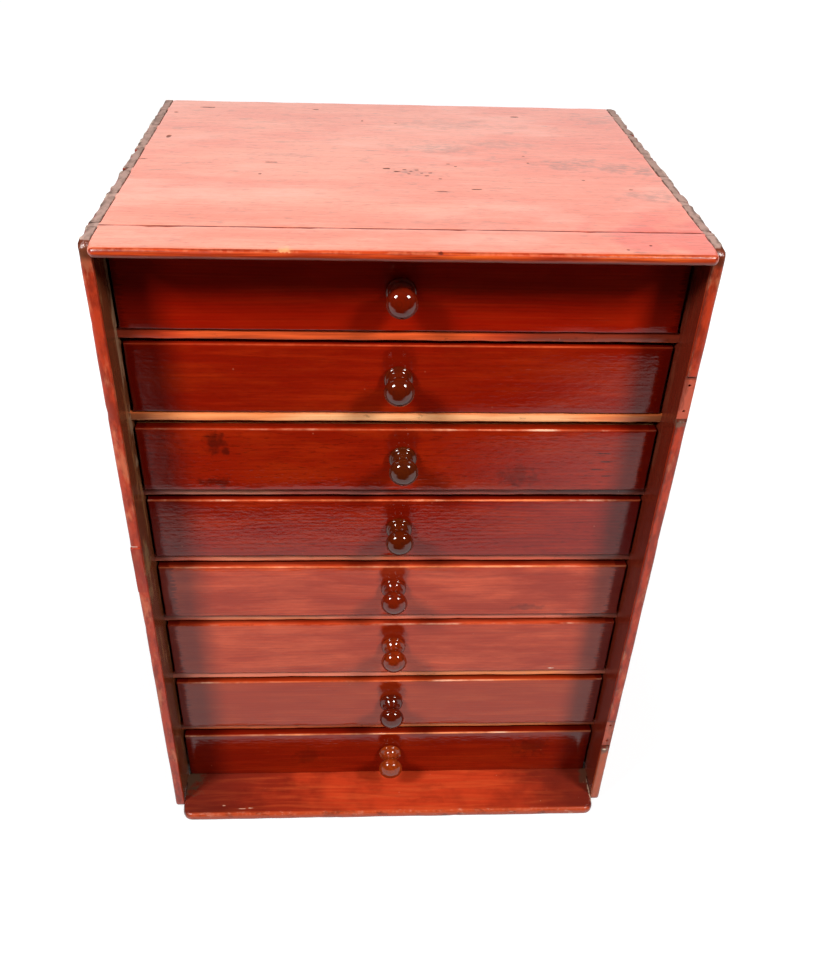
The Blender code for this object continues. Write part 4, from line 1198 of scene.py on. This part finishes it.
# The inner face of each side, which is dustier on the left: its stain, the tone and strength of its scuffs,
# and those of the rubbed rim just before the drawers.
SIDE_LOOKS = {
    "side_left": {"inside_tone": "#54341E", "scuff_tone": "#9A6A44", "scuffs": 0.55, "rim_tone": "#B09070",
                  "rim": 0.5},
    "side_right": {"inside_tone": "#5A2014", "scuff_tone": "#70301E", "scuffs": 0.3, "rim_tone": "#8E5A40",
                   "rim": 0.15},
}

# For each rail: its colour, rubbed orange pine brightened with painted light against the shade of the drawer
# above, its dark stain, where it is brightest with rubbing and a painted highlight and the colour there, and
# where dirt starts.
RAIL_KEYS = ("tone", "dark", "bright", "bright_tone", "dirty")
RAIL_LOOKS = {
    1: ("#E44A24", "#882810", (-0.16, 0.06), "#EE622C", 0.08),
    2: ("#FFA264", "#E0682E", (-0.09, 0.14), "#FFC48A", 0.18),
    3: ("#C05440", "#6A2418", (-0.19, -0.1), "#D88464", 0.12),
    4: ("#E06444", "#A03A24", (-0.16, 0.0), "#F08A60", 0.16),
    5: ("#F88466", "#B04A34", (-0.17, -0.06), "#E88A5C", 0.16),
    6: ("#FF8A68", "#C05636", (0.01, 0.17), "#FF9450", 0.19),
    7: ("#E87040", "#AC4420", (0.0, 0.17), "#FF9C5C", 0.19),
}
KNOB_TONES = {
    1: "#601202", 2: "#561403", 3: "#4C1804", 4: "#521602",
    5: "#6D1A06", 6: "#7D2406", 7: "#581405", 8: "#92340C",
}


class CABINET_OT_case(bpy.types.Operator):
    """Dress the two sides, the top and the bottom in worn, stained wood"""
    bl_idname = "cabinet.case"
    bl_label = "Case boards"

    def execute(self, context):
        finishes = (
            ("side_left", stained_side("side_left", -1, SIDE_LOOKS["side_left"]), "side_wood"),
            ("side_right", stained_side("side_right", 1, SIDE_LOOKS["side_right"]), "side_wood"),
            ("top_board", faded_top_with_painted_sheen(), "top_wood"),
            ("bottom_board", worn_bottom(), "bottom_wood"),
        )
        for seed, (node, finish, slot) in enumerate(finishes):
            piece = worn_copy(node, context.scene.cabinet_sizes, seed * 3.7)
            piece.data.materials.append(finish)
            settle(piece, node)
        return {"FINISHED"}


class CABINET_OT_rails(bpy.types.Operator):
    """Dress the dividers, whose front edges show as rubbed rails"""
    bl_idname = "cabinet.rails"
    bl_label = "Rails"

    def execute(self, context):
        for number in RAILS:
            node = f"divider_{number}"
            piece = worn_copy(node, context.scene.cabinet_sizes, 20 + number * 1.3)
            piece.data.materials.append(rubbed_rail_with_painted_light(number, dict(zip(RAIL_KEYS, RAIL_LOOKS[number]))))
            settle(piece, node)
        return {"FINISHED"}


class CABINET_OT_fronts(bpy.types.Operator):
    """Dress the eight drawer fronts, each cut from its own board"""
    bl_idname = "cabinet.fronts"
    bl_label = "Drawer fronts"

    def execute(self, context):
        for number in DRAWERS:
            node = f"drawer_{number}_front"
            piece = worn_copy(node, context.scene.cabinet_sizes, 50 + number * 2.1)
            piece.data.materials.append(stained_front(number, {**FRONT_BASE, **FRONT_LOOKS[number]}))
            settle(piece, node)
        return {"FINISHED"}


class CABINET_OT_back(bpy.types.Operator):
    """Dress the back board in dry pine, with a hollow punched for each of its nails"""
    bl_idname = "cabinet.back"
    bl_label = "Back board"

    def execute(self, context):
        sizes = context.scene.cabinet_sizes
        piece = countersunk("back_board", back_nails(), HOLLOW_SHARE * sizes.nail_radius, sizes.nail_sink)
        piece.data.materials.clear()
        piece.data.materials.append(bare_pine("dry_pine_back_board", "back_board", "Z", 60))
        settle(piece, "back_board")
        return {"FINISHED"}


class CABINET_OT_linings(bpy.types.Operator):
    """Give the drawer sides, backs and bottoms a dry pine finish"""
    bl_idname = "cabinet.linings"
    bl_label = "Linings"

    def execute(self, context):
        grains = {"side_left": "Y", "side_right": "Y", "back": "X", "bottom": "X"}
        boards = [
            (f"drawer_{number}_{board}", grain) for number in DRAWERS for board, grain in grains.items()]
        for seed, (node, grain) in enumerate(boards):
            materials = frame["nodes"][node].data.materials
            materials.clear()
            materials.append(bare_pine(f"dry_pine_{node}", node, grain, 61 + seed))
        return {"FINISHED"}


class CABINET_OT_knobs(bpy.types.Operator):
    """Turn the eight knobs"""
    bl_idname = "cabinet.knobs"
    bl_label = "Knobs"

    def execute(self, context):
        sizes = context.scene.cabinet_sizes
        tree = turning_tree()
        points = knob_profile(sizes)
        for number in DRAWERS:
            node = f"drawer_{number}_knob"
            middle = sum(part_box(node), Vector()) / 2
            middle.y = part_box(f"drawer_{number}_front")[0].y
            profile = bpy.data.meshes.new(f"{node}_profile")
            profile.from_pydata(
                [(radius, 0.0, height) for radius, height in points],
                [(index, index + 1) for index in range(len(points) - 1)], [])
            piece = grow(f"{node}_turned", profile, tree, {
                "Centre": middle, "Segments": sizes.knob_segments,
                "Finish": polished_knob(number, KNOB_TONES[number])})
            shape = bmesh.new()
            shape.from_mesh(piece.data)
            bmesh.ops.recalc_face_normals(shape, faces=shape.faces)
            shape.to_mesh(piece.data)
            shape.free()
            settle(piece, node)
        return {"FINISHED"}


class CABINET_OT_nails(bpy.types.Operator):
    """Nail the back board to the case and each drawer bottom to its drawer back"""
    bl_idname = "cabinet.nails"
    bl_label = "Nails"

    def execute(self, context):
        sizes = context.scene.cabinet_sizes
        tree = nail_tree()
        finish = iron_nail()
        sunk = Vector((0, sizes.nail_sink, 0))
        groups = {"case": [(place - sunk, (0, 1, 0)) for place in back_nails()]}
        for number in DRAWERS:
            low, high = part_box(f"drawer_{number}_bottom")
            groups[f"drawer_{number}"] = [
                ((low.x + (high.x - low.x) * share, high.y - BOTTOM_NAIL_EDGE, low.z), (0, 0, -1))
                for share in BOTTOM_NAIL_SHARES]
        for seed, (body, nails) in enumerate(groups.items()):
            places = bpy.data.meshes.new(f"{body}_nail_places")
            places.from_pydata([place for place, facing in nails], [], [])
            facings = places.attributes.new("facing", "FLOAT_VECTOR", "POINT")
            for index, (place, facing) in enumerate(nails):
                facings.data[index].vector = facing
            piece = grow(f"{body}_nails", places, tree, {
                "Head Radius": sizes.nail_radius, "Head Height": sizes.nail_height, "Seed": seed,
                "Finish": finish})
            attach(piece, body)
        return {"FINISHED"}


# Stage

# The soft boxes: place, the point each one faces, and its width and height.
LAMPS = {
    "left_lamp": ((-1.05, -0.98, 1.58), (0.0, -0.15, 0.35), (0.38, 0.44)),
    "right_lamp": ((1.10, -1.10, 1.70), (0.0, -0.15, 0.35), (0.38, 0.44)),
    "back_lamp": ((0.0, 1.7, 1.0), (0.0, 0.0, 0.6), (2.6, 1.3)),
}

# The dark cards, which stand across the view: left and right end, y, lower and upper edge.
FLAGS = {
    "near_flag": (-0.42, 0.3, -0.56, 0.001, 0.6),
    "middle_flag": (-0.5, 0.56, -0.8, 0.001, 1.2),
    "high_flag": (-1.6, 2.0, -0.55, 0.265, 0.6),
}

# Half the width of the floor, and how much of the light that falls on it it throws back.
FLOOR_HALF = 6.0
FLOOR_SHARE = 0.3

# The camera as the photograph gives it: its place, its angles in degrees, and its focal length and the
# picture's longer side in pixels. The sensor is in millimetres.
CAMERA_PLACE = (-0.0327, -0.76885, 0.8372)
CAMERA_YAW = 3.59
CAMERA_PITCH = 35.68
CAMERA_ROLL = -2.14
FOCAL_PIXELS = 958
PICTURE_PIXELS = 966
SENSOR = 36.0


class CABINET_OT_stage(bpy.types.Operator):
    """Set the cabinet on a pale floor between two soft lamps, and place the camera"""
    bl_idname = "cabinet.stage"
    bl_label = "Stage"

    def execute(self, context):
        studio = context.scene.cabinet_studio
        self.add_floor(studio)
        self.add_flags()
        powers = (studio.left_power, studio.right_power, studio.back_power)
        for (name, layout), power in zip(LAMPS.items(), powers):
            self.add_lamp(name, *layout, power)
        self.add_world(context.scene, studio)
        self.add_camera(context.scene)
        context.scene.view_settings.view_transform = "Standard"
        return {"FINISHED"}

    def add_floor(self, studio):
        """A wide sheet of paper, white to the eye and in the gloss, that throws little light back."""
        shape = bmesh.new()
        bmesh.ops.create_grid(shape, x_segments=1, y_segments=1, size=FLOOR_HALF)
        floor = link_piece("floor", finished_mesh(shape, "floor"))
        material = bpy.data.materials.new("pale_paper_floor")
        material.use_nodes = True
        tree = material.node_tree
        shader = tree.nodes["Principled BSDF"]
        dimmed = [FLOOR_SHARE * channel for channel in studio.floor_colour]
        shader.inputs["Base Color"].default_value = (*dimmed, 1.0)
        shader.inputs["Roughness"].default_value = 0.9
        shader.inputs["Specular IOR Level"].default_value = 0.0
        shader.inputs["Emission Color"].default_value = (*studio.floor_colour, 1.0)
        path = add_node(tree, "ShaderNodeLightPath").outputs
        seen = add_node(
            tree, "ShaderNodeMath", {0: path["Is Camera Ray"], 1: path["Is Glossy Ray"]}, operation="MAXIMUM")
        shown = add_node(
            tree, "ShaderNodeMath", {0: seen, 1: path["Is Transmission Ray"]}, operation="MAXIMUM")
        place = add_node(tree, "ShaderNodeTexCoord").outputs["Object"]
        distance = add_node(tree, "ShaderNodeVectorMath", {0: place}, operation="LENGTH")
        evenness = add_node(tree, "ShaderNodeMapRange", {
            "Value": distance.outputs["Value"], "From Min": 0.3, "From Max": 1.0, "To Min": 0.92,
            "To Max": 1.15})
        glow = add_node(tree, "ShaderNodeMath", {0: shown, 1: evenness}, operation="MULTIPLY")
        tree.links.new(glow.outputs[0], shader.inputs["Emission Strength"])
        floor.data.materials.append(material)

    def add_flags(self):
        """Dark cards beside and behind the camera, with soft edges, that only the varnish's gloss sees."""
        material = bpy.data.materials.new("black_flag_cloth")
        material.use_nodes = True
        tree = material.node_tree
        shader = tree.nodes["Principled BSDF"]
        shader.inputs["Base Color"].default_value = linear("#101010")
        shader.inputs["Roughness"].default_value = 1.0
        card = add_node(tree, "ShaderNodeTexCoord").outputs["UV"]
        axes = add_node(tree, "ShaderNodeSeparateXYZ", {0: card})
        left = add_node(tree, "ShaderNodeMapRange", {
            "Value": axes.outputs["X"], "From Max": 0.25}, interpolation_type="SMOOTHSTEP")
        right = add_node(tree, "ShaderNodeMapRange", {
            "Value": axes.outputs["X"], "From Min": 1.0, "From Max": 0.65}, interpolation_type="SMOOTHSTEP")
        density = add_node(tree, "ShaderNodeMath", {0: left, 1: right}, operation="MULTIPLY")
        tree.links.new(density.outputs[0], shader.inputs["Alpha"])
        for name, (start, stop, y, bottom, top) in FLAGS.items():
            mesh = bpy.data.meshes.new(name)
            mesh.from_pydata(
                [(start, y, bottom), (stop, y, bottom), (stop, y, top), (start, y, top)], [], [(0, 1, 2, 3)])
            corners = mesh.uv_layers.new(name="card")
            for loop, corner in zip(corners.data, ((0, 0), (1, 0), (1, 1), (0, 1))):
                loop.uv = corner
            mesh.materials.append(material)
            flag = link_piece(name, mesh)
            flag.visible_camera = False
            flag.visible_diffuse = False
            flag.visible_transmission = False
            flag.visible_shadow = False

    def add_lamp(self, name, place, target, size, power):
        """A soft box that faces its target and doesn't show itself."""
        data = bpy.data.lights.new(name, "AREA")
        data.shape = "RECTANGLE"
        data.size, data.size_y = size
        data.energy = power
        lamp = bpy.data.objects.new(name, data)
        lamp.location = place
        lamp.rotation_mode = "QUATERNION"
        lamp.rotation_quaternion = (Vector(target) - Vector(place)).to_track_quat("-Z", "Y")
        lamp.visible_camera = False
        bpy.context.scene.collection.objects.link(lamp)

    def add_world(self, scene, studio):
        """White behind everything, with only a little light from all round."""
        scene.world = bpy.data.worlds.new("pale_studio")
        scene.world.use_nodes = True
        tree = scene.world.node_tree
        path = add_node(tree, "ShaderNodeLightPath").outputs
        strength = add_node(tree, "ShaderNodeMapRange", {
            "Value": path["Is Camera Ray"], "To Min": studio.ambient, "To Max": 1.0})
        background = tree.nodes["Background"]
        background.inputs["Color"].default_value = (1, 1, 1, 1)
        tree.links.new(strength.outputs[0], background.inputs["Strength"])

    def add_camera(self, scene):
        """The view from above the front, turned and rolled a little as a camera held by hand is."""
        data = bpy.data.cameras.new("camera")
        data.sensor_width = SENSOR
        data.lens = FOCAL_PIXELS / PICTURE_PIXELS * SENSOR
        camera = bpy.data.objects.new("camera", data)
        yaw, pitch, roll = (math.radians(angle) for angle in (CAMERA_YAW, CAMERA_PITCH, CAMERA_ROLL))
        forward = Vector((math.sin(yaw) * math.cos(pitch), math.cos(yaw) * math.cos(pitch), -math.sin(pitch)))
        level = Vector((math.cos(yaw), -math.sin(yaw), 0.0))
        down = forward.cross(level)
        right = math.cos(roll) * level + math.sin(roll) * down
        below = -math.sin(roll) * level + math.cos(roll) * down
        turn = Matrix((right, -below, -forward)).transposed().to_4x4()
        camera.matrix_world = Matrix.Translation(CAMERA_PLACE) @ turn
        scene.collection.objects.link(camera)
        scene.camera = camera


class CABINET_PT_panel(bpy.types.Panel):
    """The cabinet's pieces, sizes and light"""
    bl_idname = "CABINET_PT_panel"
    bl_label = "Collectors cabinet"
    bl_space_type = "VIEW_3D"
    bl_region_type = "UI"
    bl_category = "Cabinet"

    def draw(self, context):
        for group in (context.scene.cabinet_sizes, context.scene.cabinet_studio):
            for label in group.__annotations__:
                self.layout.prop(group, label)
        for operator in OPERATORS:
            self.layout.operator(operator.bl_idname)


OPERATORS = (
    CABINET_OT_case, CABINET_OT_rails, CABINET_OT_fronts, CABINET_OT_back, CABINET_OT_linings,
    CABINET_OT_knobs, CABINET_OT_nails, CABINET_OT_stage)
CLASSES = (CabinetSizes, StudioLight, *OPERATORS, CABINET_PT_panel)


def register():
    for entry in CLASSES:
        bpy.utils.register_class(entry)
    bpy.types.Scene.cabinet_sizes = PointerProperty(type=CabinetSizes)
    bpy.types.Scene.cabinet_studio = PointerProperty(type=StudioLight)


def unregister():
    del bpy.types.Scene.cabinet_studio
    del bpy.types.Scene.cabinet_sizes
    for entry in reversed(CLASSES):
        bpy.utils.unregister_class(entry)


def main():
    register()
    bpy.ops.cabinet.case()
    bpy.ops.cabinet.rails()
    bpy.ops.cabinet.fronts()
    bpy.ops.cabinet.back()
    bpy.ops.cabinet.linings()
    bpy.ops.cabinet.knobs()
    bpy.ops.cabinet.nails()
    bpy.ops.cabinet.stage()


if __name__ == "__main__":
    main()
